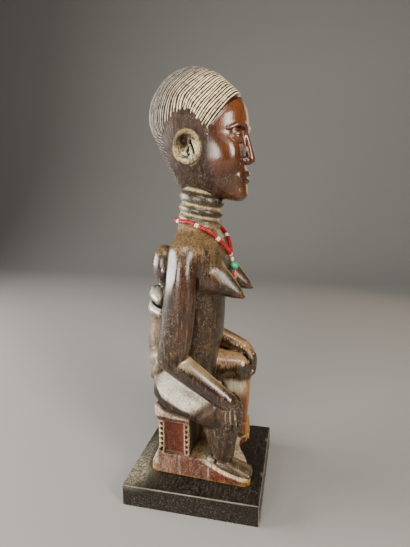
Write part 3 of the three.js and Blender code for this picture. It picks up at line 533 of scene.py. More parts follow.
# Folds and grooves of the ear from its middle: forward-to-back, outward, up and radius
EAR_FOLDS = [
    ([(-6.6, -0.9, -11.2, 1.0), (-10.3, 0.0, -6.4, 1.3), (-11.2, 0.4, 0, 1.4), (-9.6, 0.5, 6.6, 1.5),
      (-5.4, 0.4, 11.2, 2.0), (0.6, 0.3, 12.4, 2.3), (6.0, 0.0, 10.6, 2.1), (9.6, -0.4, 6.4, 1.6)], 0.5),
    ([(1.6, -0.9, 9.6, 1.1), (1.9, 0.0, 5.2, 1.3), (1.3, -0.2, 0.6, 1.2), (-1.0, -0.7, -3.4, 1.3)], 0.5),
    ([(4.6, -0.5, 6.6, 1.4), (7.2, 0.2, 3.6, 2.0), (8.6, 0.1, -0.4, 1.7), (9.6, -0.3, -4.6, 1.2)], 0.5),
    ([(3.6, -0.4, 1.4, 1.2), (5.2, 0.4, -2.8, 1.8), (6.8, 0.3, -7.4, 1.7)], 0.4),
    ([(-6.8, -0.8, -8.6, 1.3), (-2.4, -0.1, -10.4, 1.7), (2.6, -0.1, -10.6, 1.6)], 0.5),
    ([(-4.2, -1.2, -4.6, 1.6), (0.6, -0.8, -6.4, 1.7)], 0.8),
]
EAR_GROOVES = [
    ([(3.0, 1.3, 9.2, 0.6), (6.8, 1.4, 8.6, 0.8)], 0.4),
    ([(3.0, 0.8, 7.2, 0.6), (3.2, 1.0, 2.6, 0.5)], 0.4),
    ([(5.4, 1.6, 0.2, 0.5), (7.6, 1.7, -3.6, 0.7), (8.8, 1.2, -8.4, 0.8)], 0.4),
    ([(-3.0, 1.0, -8.4, 0.45), (0.6, 1.4, -8.2, 0.6), (3.6, 1.3, -9.4, 0.6)], 0.4),
    ([(-7.6, 0.6, -12.2, 0.9), (0, 0.8, -13.4, 1.0), (6.6, 0.6, -11.8, 1.0)], 0.5),
    ([(-4.4, 0.5, -5.4, 0.4), (-2.8, 0.5, -7.6, 0.4)], 0.3),
]


def ears(field):
    """Round ears: a raised rim, a deep hollow, and folds inside the rim."""
    cos_out, sin_out, cos_up, sin_up = (way(angle) for angle in (EAR_TURN, EAR_LEAN)
                                        for way in (math.cos, math.sin))
    low, high = np.subtract(EAR, (15, 9, 18)), np.add(EAR, (15, 8, 18))

    def local(f, l, u):
        x, y, z = l - EAR[1], -(f - EAR[0]), u - EAR[2]
        y, z = y * cos_up + z * sin_up, z * cos_up - y * sin_up
        return x * sin_out - y * cos_out, x * cos_out + y * sin_out, z

    def oval(centre, radii):
        form = ellipsoid(centre, radii)[2]
        return low, high, lambda f, l, u: form(*local(f, l, u))

    def fold(stations):
        rows = spline(stations, 5)

        def distance(f, l, u):
            place = local(f, l, u)
            best = np.full(place[0].shape, 30.0)
            for a, b in zip(rows[:-1], rows[1:]):
                way = b[:3] - a[:3]
                offset = [x - start for x, start in zip(place, a)]
                t = np.clip(dot(offset, way) / (way @ way), 0, 1)
                away = np.sqrt(sum((x - t * part) ** 2 for x, part in zip(offset, way)))
                best = np.minimum(best, away - a[3] - t * (b[3] - a[3]))
            return best
        return low, high, distance

    field.add(oval((0, -2, 0), (EAR_HALF[0] - 0.4, 4.8, EAR_HALF[1] - 0.4)), 1.6, True)
    field.cut(oval((-0.4, 1.6, 0), (EAR_HALF[0] - 2.2, 3.3, EAR_HALF[1] - 2.4)), 0.5, True)
    field.cut(oval((-4.4, 0.0, 5.0), (6.2, 6.0, 5.6)), 0.6, True)
    field.cut(oval((-4.6, 0.6, 0.6), (5.0, 3.6, 7.0)), 1.2, True)
    for stations, blend in EAR_FOLDS:
        field.add(fold(stations), blend, True)
    for stations, blend in EAR_GROOVES:
        field.cut(fold(stations), blend, True)


def torso():
    return stack([
        (86, 8, -38, 32), (98, 9, -39, 34), (108, 10, -39.5, 34.5), (122, 12.5, -38.5, 32.5),
        (136, 15.5, -33, 28), (152, 18.8, -29, 26.5), (168, 20, -27.5, 27), (185, 20.5, -27.5, 29),
        (199, 22, -28, 32), (212, 24.6, -28.5, 36), (220, 25, -28.5, 40), (229, 23.5, -28, 42.5),
        (237, 20.5, -26, 40), (244, 17.5, -24, 32), (250, 15, -22.5, 24), (257, 13, -20.5, 18),
    ])


def neck():
    return stack([
        (246, 14.2, -20, 19.5), (250.4, 13.6, -20.2, 18.2), (253, 15.4, -21.4, 19.2),
        (257.5, 17.4, -22.2, 20.2), (260.4, 15.6, -20.6, 18.4), (261.8, 14.8, -19.4, 17.4),
        (263.4, 17.0, -21, 19.2), (266.6, 18.4, -21.4, 19.8), (269.2, 17.0, -19.8, 18.6),
        (270.8, 15.6, -18.2, 17.2), (272.6, 18, -20, 19), (276.4, 19.6, -20.8, 19.8),
        (280, 18.6, -19.6, 18.8), (282.5, 15, -17, 15), (292, 11, -14, 12),
    ], power=2.15, slope=0.2, steps=6)


def body_field():
    field = Field((-64, -60, 19), (64, 60, 294), 1.0 * COARSE)
    field.add(torso(), 0.01)
    field.add(neck(), 1.2)
    breast = limb([(8, 20, 210.5, 14.6, 16.2), (18, 20, 207, 12.6, 13.8), (27, 20, 202, 9.2, 10.0),
                   (35, 20, 197, 5.8, 6.2), (40.6, 20, 193.4, 2.7, 2.7)])
    field.add(flattened(breast, 1, (0.6, 0.366), 121.4, 1.6), 4, True)
    field.add(ellipsoid((42.4, 20, 192.4), (1.8, 1.8, 1.8)), 0.7, True)
    for part in (add_arm, add_leg):
        part(field, -1, 0)
        part(field, 1, KNEE_RISE)
    add_child(field)
    field.cut(prism(rectangle(-90, 90, -90, 90), (0, 1), (0, PLINTH_HEIGHT), 0), 0.01)
    return field


def add_arm(field, side, lift):
    """Arm from the shoulder down to a hand laid over the knee."""
    upper = limb(on_side(side, [
        (-5, 33, 239, 11, 7), (-6, 40, 230, 12, 9.5), (-6.5, 43.6, 215, 12.6, 10.4),
        (-7.5, 44.2, 194, 14, 10.4), (-10.5, 44.3, 170, 14.8, 10.4), (-13.5, 44.3, 151, 14.6, 10.6),
        (-17, 44.2, 137, 12.5, 10.4),
    ]), across=(1, 0, 0))
    upper = flattened(upper, side, (-0.68, 0.24), 111.3, 1.5)
    field.add(upper, lambda f, l, u: 1.6 + 7 * step_up(u, 200, 236))
    fore = limb(on_side(side, [
        (-17, 44.3, 138, 9.8, 12), (-6, 44, 131, 9.6, 12), (10, 43, 119.5, 8.9, 11),
        (24, 41.8, 109.5, 8.1, 9.8), (34, 41.2, 102.5, 6.9, 8.4),
    ], lift, (0.1, 0.25, 0.55, 0.85, 1)), ends=(0.9, 0.6))
    field.add(flattened(fore, side, (0.65 - 0.0168 * lift, 0.909), 173.6 + 0.38 * lift, 3.5), 1.5)
    palm = on_side(side, [(31.5, 39.8, 107, 6.4, 7.6), (35.8, 40.2, 100, 8.2, 6.6),
                          (37.0, 39.6, 93, 8.4, 5.8), (36.6, 38.8, 85, 8.0, 5.0)], lift)
    field.add(limb(palm, across=(0.96, -0.28 * side, 0), ends=(0.8, 0.4)), 1.6)
    fingers = ((31.4, 43.2, 12.6), (36.0, 43.4, 14.0), (40.4, 41.6, 14.4), (43.6, 37.8, 13.4))
    for finger, (forward, left, length) in enumerate(fingers):
        turned_in = 0.12 + 0.26 * finger
        across = (math.cos(turned_in), -math.sin(turned_in) * side, 0)
        field.add(limb(on_side(side, [
            (forward - 1.4, left - 1.2, 101, 2.3, 3.4), (forward, left, 94, 2.45, 3.6),
            (forward - 0.2, left, 87, 2.4, 3.5), (forward - 0.8, left - 1.2, 93 - length, 2.2, 3.0),
        ], lift), across=across, ends=(0.3, 0.9)), 0.35)
    for gap in range(3):
        (f0, l0, _), (f1, l1, _) = fingers[gap:gap + 2]
        forward, out = (f0 + f1) / 2 + 0.9 * gap, (l0 + l1) / 2 + 3.4 - 0.5 * gap
        field.cut(limb(on_side(side, [(forward - 1.2, out - 0.3, 98, 0.2), (forward, out + 0.3, 93, 0.4),
                                      (forward - 0.6, out - 0.4, 79, 0.4)], lift)), 0.4)
    thumb = [(37, 33, 105, 3.6), (41.5, 30.5, 99, 2.7), (43.0, 29.4, 93, 2.2)]
    field.add(limb(on_side(side, thumb, lift)), 0.8)


def add_leg(field, side, rise):
    """Leg from the seat down to the slab. The right thigh has a flat facet that fades to the knee."""
    thigh = limb(on_side(side, [
        (-22, 27, 110.5, 17.5, 21), (-8, 30, 105, 16.6, 20.5 - rise * 0.05),
        (8, 32, 98.5, 15.4, 18.5 - rise * 0.06), (22, 33, 92.5, 14.2, 17 - rise * 0.14),
        (31, 33, 90, 12.6, 15.0 - rise * 0.15),
    ], rise, (0, 0.1, 0.33, 0.74, 0.95)), ends=(1, 0.6))
    edge = limb(on_side(side, [
        (-33, 31.5, 99, 6), (-21, 35.2, 91, 6.8), (-3, 36.4, 86.6, 6.8), (13, 37.6, 82.8, 6.8),
        (26, 38.4, 81, 6.2),
    ], rise, (0, 0, 0.2, 0.55, 0.9)))

    def together(f, l, u):
        return soft_min(thigh[2](f, l, u), edge[2](f, l, u), 4)
    low, high = np.minimum(thigh[0], edge[0]), np.maximum(thigh[1], edge[1])
    forward = 0.13 if side < 0 else 0
    facet = flattened((low, high, together), side, (forward, 0.42), 80.2 + 0.42 * rise, 1.4)[2]

    def faded(f, l, u):
        kept = step_up(np.interp(f, *THIGH_BORDER) - u, -3.0, 8.0) * step_up(f, -6, 8)
        return soft_min(facet(f, l, u), together(f, l, u) + 9 * (1 - kept), 2.5)
    field.add((low, high, faded if side < 0 else facet), 1.2)
    shin = limb(on_side(side, [
        (27, 32.5, 86, 15.5, 12), (25.8, 32.5, 74, 16.6 - rise * 0.08, 11.5), (26.4, 32.2, 62, 13.8, 10.8),
        (27.5, 32, 52, 11.2, 10.0), (28.2, 32, 46.5, 9.8, 9.0),
    ], rise, (0.7, 0.6, 0.3, 0, 0)), across=(1, 0, 0), ends=(0.4, 0.62))
    if side < 0:
        field.add(shin, 1.4)
        foot = [(25, -30.5, 37, 8.6, 6.5), (34, -30, 34.4, 9.3, 6.2), (44, -29, 30.6, 9.7, 5.6),
                (52, -28.5, 28.2, 9.2, 4.6)]
        field.add(limb(foot, ends=(0.8, 0.35)), 0.8)
        field.add(ellipsoid((17.5, -33.5, 40.6), (5, 6, 3)), 0.6)
        return
    field.add(shin, 4.5)
    field.cut(ellipsoid((24, 17.5, 92), (11, 5, 10)), 3)
    for higher in 3.2 * np.arange(6):
        tool_mark = [(19, 20, 80 + 0.55 * higher, 0.4), (27, 19.4, 83.5 + 0.8 * higher, 0.6),
                     (36, 21, 85 + 1.05 * higher, 0.4)]
        field.cut(limb(tool_mark), 0.5)


def add_child(field):
    """Child sitting on her back with its arms and legs held round her."""
    add = field.add
    add(ellipsoid((-37.5, 0, 214.5), (12.6, 13.2, 19)), 1.2)
    add(limb([(-37.5, 0, 203, 8.4, 8), (-38, 0, 190, 8.2, 6.6), (-38, 0, 184, 10, 7)], ends=(0.5, 0.5)), 1.5)
    add(limb([(-38, 0, 186, 13, 8), (-40, 0, 176, 15.5, 11), (-40.5, 0, 156, 14.5, 12.6),
              (-41.2, 0, 136, 16, 14.6), (-41.2, 0, 122, 15.5, 13.6)], ends=(0.6, 0.9)), 1.6)
    for stations, blend in (
        ([(-44, 8, 190, 5.8, 6), (-40, 19, 188.5, 5.6, 5.8), (-32, 27.5, 186, 4.8, 5)], 1.0),
        ([(-46, 10, 177, 5.6, 5.6), (-41, 21, 175.5, 5.4, 5.4), (-30, 29, 174, 4.6, 4.6)], 1.0),
        ([(-44, 10, 124, 9, 9), (-38.5, 21, 129, 8.2, 8.5), (-27.5, 29.5, 134, 6.6, 7)], 1.2),
    ):
        add(limb(stations, across=(0, 0, 1)), blend, True)
    lower_leg = [(-28.5, 30.5, 134, 6.2, 6), (-33, 31.5, 124, 5.6, 5.2), (-39, 28.5, 114.5, 5, 5.2)]
    add(limb(lower_leg), 1.0, True)
    add(ellipsoid((-34, 13, 210), (2.4, 1.8, 3.6)), 0.6, True)
    field.cut(limb([(-51, 0, 172, 1.2), (-54.5, 0, 150, 1.1), (-56.8, 0, 128, 1.0)]), 2.5)


def base_field():
    """Stool with framed panels, teeth and a hatched strip, on the slab with the left foot's stump."""
    field = Field((-46, -44, 18.6), (60, 44, 98), 0.72 * COARSE)
    field.add(slab(), 0.01)
    side = rectangle(STOOL_BACK, STOOL_FRONT, 36, 76.5)
    field.add(prism(side, (0, 2), (-STOOL_HALF, STOOL_HALF), 0.5), 0.8)
    seat = [(f, SEAT_BOTTOM + above) for f, above in (
        (STOOL_BACK - 0.5, 0), (STOOL_FRONT, 0), (STOOL_FRONT + 0.8, 3.2), (-14, 5), (-28, 8.5),
        (STOOL_BACK - 3, 15), (STOOL_BACK - 3, 6))]
    field.add(prism(seat, (0, 2), (-39.4, 39.4), 1.2), 0.5)
    for way in (-1, 1):
        stool_side(field, way)
    field.add(broken_foot(), 0.8)
    return field


def stool_side(field, way):
    """Sunk panel, teeth and hatched strip on one side of the stool."""
    back, front, low, high = PANEL
    face = STOOL_HALF * way

    def recess(outline, depth):
        field.cut(prism(outline, (0, 2), sorted((face - depth * way, face + 2 * way)), 0.15), 0.2)
    recess(rectangle(back, front, low, high), 1.0)
    recess(rectangle(back + 1.2, front - 1.6, low + 1.2, high - 1), 1.5)
    for tooth in range(TEETH):
        base = low + 0.5 + TOOTH_PITCH * tooth
        for edge, inward in ((STOOL_BACK, 1), (STOOL_FRONT, -1)):
            root, tip = edge + inward * 4.1, edge + inward * 0.5
            recess([(root, base), (tip, base + TOOTH_PITCH / 2), (root, base + TOOTH_PITCH * 0.94)], 1.4)
    for start in -19.5 + 2.2 * np.arange(8):
        hatch = [(start, face + 1.9 * way, SEAT_BOTTOM + 0.3, 0.3),
                 (start - 1.3, face + 1.9 * way, SEAT_BOTTOM + 4, 0.3)]
        field.cut(limb(hatch, steps=1), 0.3)


def slab():
    """Slab with rounded back corners and a slanting, broken front edge."""
    outline = [(SLAB_BACK, PLINTH_HEIGHT), (SLAB_TOE, PLINTH_HEIGHT)] + SLAB_TOP[::-1]
    inner = SLAB_HALF - SLAB_CORNER
    back, toe = SLAB_BACK + SLAB_CORNER, SLAB_TOE - SLAB_CORNER
    plan = []
    for f, l, start in ((back, inner, 0.5), (back, -inner, 1), (toe, -inner, 1.5)):
        for step in range(7):
            angle = math.pi * (start + step / 12)
            plan.append((f + SLAB_CORNER * math.cos(angle), l + SLAB_CORNER * math.sin(angle)))
    low, high, side = prism(outline, (0, 2), (-SLAB_HALF - 1, SLAB_HALF + 1), 1.0)
    top = prism(plan + SLAB_FRONT, (0, 1), (PLINTH_HEIGHT - 3, 49), 1.0)[2]
    return low, high, lambda f, l, u: -soft_min(-side(f, l, u), -top(f, l, u), 2.2)


def broken_foot():
    """Stump of her left foot, broken off level with the shin."""
    low, high, stump = limb([(22, 32, 38, 8.5, 9), (30, 32.5, 38, 9.2, 12), (45, 32.5, 36, 8.8, 13)],
                            ends=(0.7, 0.3))
    plan = [(-10, 20), (-10, 52), (38, 52), (39.5, 40), (40, 34), (36, 26), (34, 20)]
    kept = prism(plan, (0, 1), (PLINTH_HEIGHT, 62), 0.6)[2]

    def distance(f, l, u):
        chips = 0.35 * np.sin(0.55 * u + 0.5 * l) + 0.22 * np.sin(1.3 * l - 0.5 * u) + 0.05 * (u - 36)
        return np.maximum(stump(f, l, u), kept(f, l, u) + chips * step_up(f, 30, 36))
    return low, high, distance


def linear(code):
    """Linear colour from a hexadecimal code."""
    parts = [int(code[i:i + 2], 16) / 255 for i in (0, 2, 4)]
    return np.array([p / 12.92 if p <= 0.04045 else ((p + 0.055) / 1.055) ** 2.4 for p in parts])


def linked(name, data):
    """Object of that name in the scene."""
    made = bpy.data.objects.new(name, data)
    bpy.context.scene.collection.objects.link(made)
    return made


def aimed(name, data, place, way, roll=0.0):
    """Light or camera at a place, looking along a direction."""
    made = linked(name, data)
    turn = way.to_track_quat("-Z", "Y").to_matrix() @ Matrix.Rotation(roll, 3, "Z")
    made.matrix_world = Matrix.Translation(place) @ turn.to_4x4()
    return made


def mesh_object(name, points, faces):
    """Smooth-shaded object from points in metres and faces."""
    mesh = bpy.data.meshes.new(name)
    mesh.from_pydata(points, [], faces)
    mesh.validate()
    mesh.shade_smooth()
    return linked(name, mesh)


def thin_out(made, most):
    """Brings a mesh of four-sided faces down to that many triangles, keeping its detail where it bends."""
    old = made.data
    triangles = 2 * len(old.polygons)
    if triangles <= most:
        return
    made.modifiers.new("thin", "DECIMATE").ratio = most / triangles
    graph = bpy.context.evaluated_depsgraph_get()
    made.data = bpy.data.meshes.new_from_object(made.evaluated_get(graph))
    made.modifiers.clear()
    bpy.data.meshes.remove(old)
    made.data.shade_smooth()


def store(mesh, name, values):
    """Keeps a number or a colour for each point of a mesh."""
    if values.ndim == 1:
        layer = mesh.attributes.new(name, "FLOAT", "POINT")
        layer.data.foreach_set("value", values.astype(np.float32))
    else:
        layer = mesh.attributes.new(name, "FLOAT_COLOR", "POINT")
        rgba = np.hstack([values, np.ones((len(values), 1))]).astype(np.float32)
        layer.data.foreach_set("color", rgba.ravel())


def carved(name, field, painter, material):
    """Piece of the figure, with its tones, painted shade in hollows and worn edges kept on its points."""
    points, faces = field.skin()
    made = mesh_object(name, to_row(points), faces)
    thin_out(made, MOST_TRIANGLES)
    points = figure_points(made.data)
    slope = field.slope(points)
    normal = slope / np.maximum(np.linalg.norm(slope, axis=1, keepdims=True), 1e-6)
    looks = painter(points, normal)
    # Hollow: painted shade, partly dark patina, stronger where the surface is closed in. Edge: real wear on
    # sharp edges.
    looks["hollow"] = np.clip(1 - field.sample(points + 2.4 * normal) / 2.4, 0, 1) * (1 - looks.pop("clean"))
    looks["edge"] = np.clip(1 + field.sample(points - 2.0 * normal) / 2.0, 0, 1) * (1 - looks.pop("unworn"))
    for kept, values in looks.items():
        store(made.data, kept, values)
    finish_piece(made, "mother_and_child_figure", material)
    return made


def layered(base, layers):
    """Tone of each point: a base colour with each layer's colour laid over it by its share."""
    tone = linear(base)
    for code, share in layers:
        tone = tone + (linear(code) - tone) * np.clip(share, 0, 1)[:, None]
    return tone


def paint_head(at, normal):
    """Polished face, dusty skin round the ears, pale ears and hair."""
    f, l, u = at.T
    behind, share = hair_distance(f, l, u), hair_share(f, l, u)
    in_ear = np.stack([(f - EAR[0]) / (EAR_HALF[0] + 0.2), 0 * f, (u - EAR[2]) / (EAR_HALF[1] + 0.4)], 1)
    ear = (1 - step_up(np.hypot(in_ear[:, 0], in_ear[:, 2]), 0.92, 1.06)) * step_up(np.abs(l), 24, 26)
    hair = step_up(behind, 0.0, 0.5) * share * (1 - ear)
    patch = step_down(f, 9, 22) * (1 - share * step_up(behind, -1, 1))
    # Band in front of the hairline, wider near the top, that gets a painted shadow
    band = 0.9 + 3.2 * step_up(u, 348, 364)
    hairline_shadow = step_up(behind, -band, 0.6 - band) * step_down(behind, -0.1, 0.3) * step_up(u, 333, 336)
    tone = layered("4f2810", [
        # Painted highlight: forehead lighter round where its highlight falls
        ("7d441f", bell(at, (38, 0, 345), (20, 60, 24)) * 0.75),
        ("33190c", step_down(u, 286, 308) * step_up(f, -20, 10) * 0.85),
        ("7a4a20", bell(at, (38, 0, 281), (9, 30, 9)) * 0.5),
        # Painted highlight: cheek lighter round where its highlight falls
        ("6b3f1e", bell(at, (33, 24, 302), (8, 30, 12)) * 0.5),
        ("3a2824", patch * 0.95),
        # Painted highlights on the bare patch, above the ear and in front of it
        ("8a6b62", patch * bell(at, (-6, 30, 338), (18, 40, 4)) * 0.8),
        ("65564d", patch * bell(at, (9, 30, 306), (5, 40, 14)) * 0.6),
        ("5a3a30", patch * bell(at, (10, 30, 322), (9, 40, 14)) * 0.6),
        ("3a3027", step_down(u, 290, 304) * step_down(f, -4, 8) * 0.8),
        ("cdb582", ear * 0.95),
        ("f0e4c2", ear * bell(in_ear, (0.3, 0, -0.4), (0.6, 1, 0.6))),
        # Painted shade: the ear's deep upper hollow nearly black
        ("140d08", ear * bell(in_ear, (-0.28, 0, 0.3), (0.56, 1, 0.46)) * 1.2),
        # Painted shadow in the band under the hair's raised edge
        ("2c130a", hairline_shadow * 0.9),
    ])
    jaw = step_down(u, 292, 312) * step_up(f, 0, 16)
    low_back = hair * step_down(u, 312, 336)
    silver = step_up(behind, 18, 60) + 0.6 * step_down(u, 325, 345)
    return {
        "tone": tone, "hair": hair, "strand": hair_strand(behind, f, u), "silver": np.clip(silver, 0, 1),
        "veins": 0.3 + 0.35 * patch,
        "dust": np.clip(0.12 + 0.3 * ear + 0.4 * patch + 0.4 * jaw + 0.7 * low_back, 0, 1),
        "gloss": np.clip(1 - 0.8 * np.maximum(hair, ear) - 0.75 * patch, 0, 1),
        "clean": 0, "unworn": np.maximum(0.8 * step_up(f, 14, 22), ear),
    }


def paint_body(at, normal):
    """Dark trunk and limbs, dusty chest and neck, facets with painted highlight, golden far leg, the child.
    """
    f, l, u = at.T
    side, near, on_child = np.abs(l), l < 0, step_down(f, -33, -29)
    up, out = normal[:, 2], normal[:, 1] * np.sign(l)
    lift = np.where(near, 0, KNEE_RISE)

    # Places on the trunk and arms
    neck_share = step_up(u, 246, 252)
    chest = step_up(u, 204, 226) * (1 - neck_share)
    breast = step_up(f, 22, 30) * (u > 180) * (u < 226)
    tips = bell(at, (41, 20, 193), (5, 9, 5)) + bell(at, (41, -20, 193), (5, 9, 5))
    arm = step_up(side, 31, 36) * step_up(u, 128, 140) * step_down(u, 222, 238)
    fore_low = np.interp(f, *FOREARM_LOW) + lift * np.interp(f, (-17, 34), (0.1, 1))
    fore = step_up(side, 36, 39) * step_up(f, -14, -4) * step_down(u, 140, 146)
    fore = fore * step_up(u - fore_low, -1.0, 0.5)
    # Pale strip on the forearm's upward-facing facet: partly wear, partly painted highlight
    strip = fore * step_up(up, 0.25, 0.5)
    worn_and_lit_strip = strip * step_down(out, 0.5, 0.95) * (1 - 0.6 * step_up(f, 8, 30)) * np.where(near, 1, 0.7)
    hand = step_up(side, 34, 37) * step_up(f, 28, 31) * step_down(u, 112, 124) * step_up(u, 76, 79)

    # Places on the legs
    thigh = step_down(u, 122, 128) * step_up(u, 76, 80) * step_down(f, 27, 31) * (1 - fore)
    border = np.interp(f, *THIGH_BORDER) + 1.5 * step_up(f, 2, 10)
    soft = 1.0 + 2.5 * step_up(f, -6, 6)
    above = np.clip((u - border + soft) / (2 * soft), 0, 1)
    facet = thigh * near * above * (up > -0.3) * step_up(out, 0.0, 0.35) * step_up(side, 28, 33)
    under = thigh * near * (1 - above)
    far = (l > 6) & (u < 140) & (f > -8) & (side < 39)
    far_shin = step_up(l, 12, 18) * step_down(u, 90, 96) * step_up(f, 8, 18)
    shin = step_down(l, -18, -12) * step_down(u, 75, 80) * step_up(f, 5, 12)
    foot = step_down(l, -16, -12) * step_down(u, 40, 43)

    # Places on the child and the neck
    child_head = on_child * step_up(u, 192, 198)
    child_arms = on_child * (step_up(u, 168, 172) * step_down(u, 193, 196))
    child_back = on_child * step_down(u, 164, 168) * step_up(u, 104, 112)
    level = u + 0.2 * f
    collar = neck_share * step_down(level, 255, 259)
    neck_side = np.stack([f, 0 * f, u], 1)

    finger_lines = []
    for middle, lean in ((33.2, 0.0), (37.8, -0.05), (41.8, -0.12)):
        line = stripe(f, middle + lean * (u - 88 - lift), 0.3)
        finger_lines.append(("cdb98f", hand * line * step_up(-u, -101 - lift, -96 - lift) * 0.85))
    tone = layered("3a260f", [
        ("7a6340", chest * 0.9),
        # Painted highlight: lighter spots at the front of the near shoulder
        ("a5714f", chest * bell(at, (8, -34, 226), (9, 12, 8)) * 0.7),
        ("9c7a52", bell(at, (4, -40, 229), (9, 12, 9)) * 0.7),
        ("3b2a19", breast * 0.8),
        # Painted shade: the breasts darker where they face down
        ("150e09", breast * step_down(up, -0.5, 0) * 0.9),
        ("5c3015", tips),
        ("41220c", arm * step_up(f, -16, -6) * 0.9),
        ("33251a", arm * step_down(f, -16, -8) * 0.85),
        ("6a543a", arm * bell(at, (-2, -48, 150), (9, 20, 9)) * 0.35),
        ("2f1a12", fore * 0.9),
        # Forearm's top facet lighter, most near the elbow: partly wear, partly painted highlight
        ("8d7750", worn_and_lit_strip),
        ("cdb68a", strip * step_down(f, -6, 6) * near),
        # Painted highlight: the thigh's flat facet painted pale
        ("b5af98", facet),
        # Painted shade under the facet's edge, with a painted reddish sheen at the knee's front
        ("24160c", under),
        ("4a2c1e", under * bell(at, (18, -44, 92), (8, 12, 6)) * 0.8),
        # Far thigh: painted light where it faces up, a painted highlight band, painted shade where it faces
        # down
        ("ab8558", far * step_up(up, 0.1, 0.6) * step_up(u, 92, 98)),
        ("c89f7c", far * bell(at, (16, 24, 114), (14, 14, 8)) * step_up(up, 0.0, 0.3) * 0.9),
        ("5a4422", far * step_down(up, -0.4, 0) * 0.8),
        ("6c3f16", far_shin * 0.95),
        ("5c2f10", far_shin * bell(at, (31, 18, 68), (7, 14, 14)) * 0.8),
        ("ddd3b0", far_shin * bell(at, (27, 20, 88), (12, 14, 8)) * 1.2),
        ("b9762c", far_shin * step_up(f, 36, 41) * 0.85),
        ("3b2c18", shin * 0.9),
        ("2c180a", shin * step_up(f, 22, 34) * 0.85),
        ("3a1f10", hand * 0.9),
        *finger_lines,
        ("46351f", foot * 0.95),
        ("bdb09a", bell(at, (17, -37, 41), (4, 8, 3)) * 0.9),
        ("33231d", child_head * 0.95),
        ("6d5230", child_head * step_up(u, 216, 230)),
        ("5d3a36", child_head * bell(at, (-44, -8, 212), (8, 10, 9)) * 0.6),
        ("8e8263", child_arms * 0.9),
        # Child's arms: painted highlight where they face up, painted shade where they face down
        ("d6cfbb", child_arms * step_up(up, -0.2, 0.4) * 0.9),
        ("3b3423", child_arms * step_down(up, -0.7, -0.3) * 0.9),
        ("6d563e", child_back * 0.9),
        ("a98a6c", child_back * bell(at, (-40, -12, 150), (14, 14, 14)) * 0.7),
        ("bfa98c", child_back * bell(at, (-36, -26, 130), (10, 12, 9)) * 0.8),
        # Painted shadow under the child's lower arm, and painted shade in the crease between its arms
        ("150f0a", on_child * stripe(u, 168, 2.6) * 0.95),
        ("150f0a", on_child * stripe(u, 182.5, 1.5) * 0.9),
        ("2a2114", neck_share),
        *(("c4b285", neck_share * stripe(level, groove, 1.25) * 0.9) for groove in NECK_GROOVES),
        # Pale patch on the back of the neck: painted highlight over pale dust
        ("b9ad8a", neck_share * bell(neck_side, (-17, 0, 268), (6, 1, 14)) * 0.6),
        ("9d8560", collar * 0.85),
    ])
    pebbled = arm * step_down(f, -12, -2) * step_down(u, 196, 214)
    trunk = (side < 31) * step_up(u, 112, 120) * (f > -20)
    ledge = thigh * near * stripe(u, border - 4, 9) * step_up(f, -4, 4)
    dusty = np.maximum.reduce([
        neck_share * 0.8, chest * 0.9, child_arms * 0.5, child_back * 0.7, child_head * 0.7, pebbled * 0.8,
        shin * 0.7, hand * 0.8, foot * 0.8, facet * 0.6])
    calm = np.maximum.reduce([
        hand * 0.7, far_shin * 0.7, facet * 0.75, foot * 0.6, neck_share, on_child * 0.5])
    dull = np.maximum.reduce([
        0.35 * chest, 0.3 * facet, ledge, 0.5 * child_back, 0.6 * pebbled, 0.4 * shin, 0.5 * under,
        0.4 * trunk])
    return {
        "tone": tone, "dust": np.clip(0.3 + 0.5 * trunk + 0.7 * dusty, 0, 1),
        "veins": np.clip(1 - calm, 0, 1) * (1 - 0.8 * step_up(np.abs(up), 0.3, 0.7)),
        "gloss": np.clip(1 - dull, 0, 1),
        "clean": 0.8 * neck_share, "unworn": np.maximum(0.5 * neck_share, thigh * near * (f > -6)),
    }


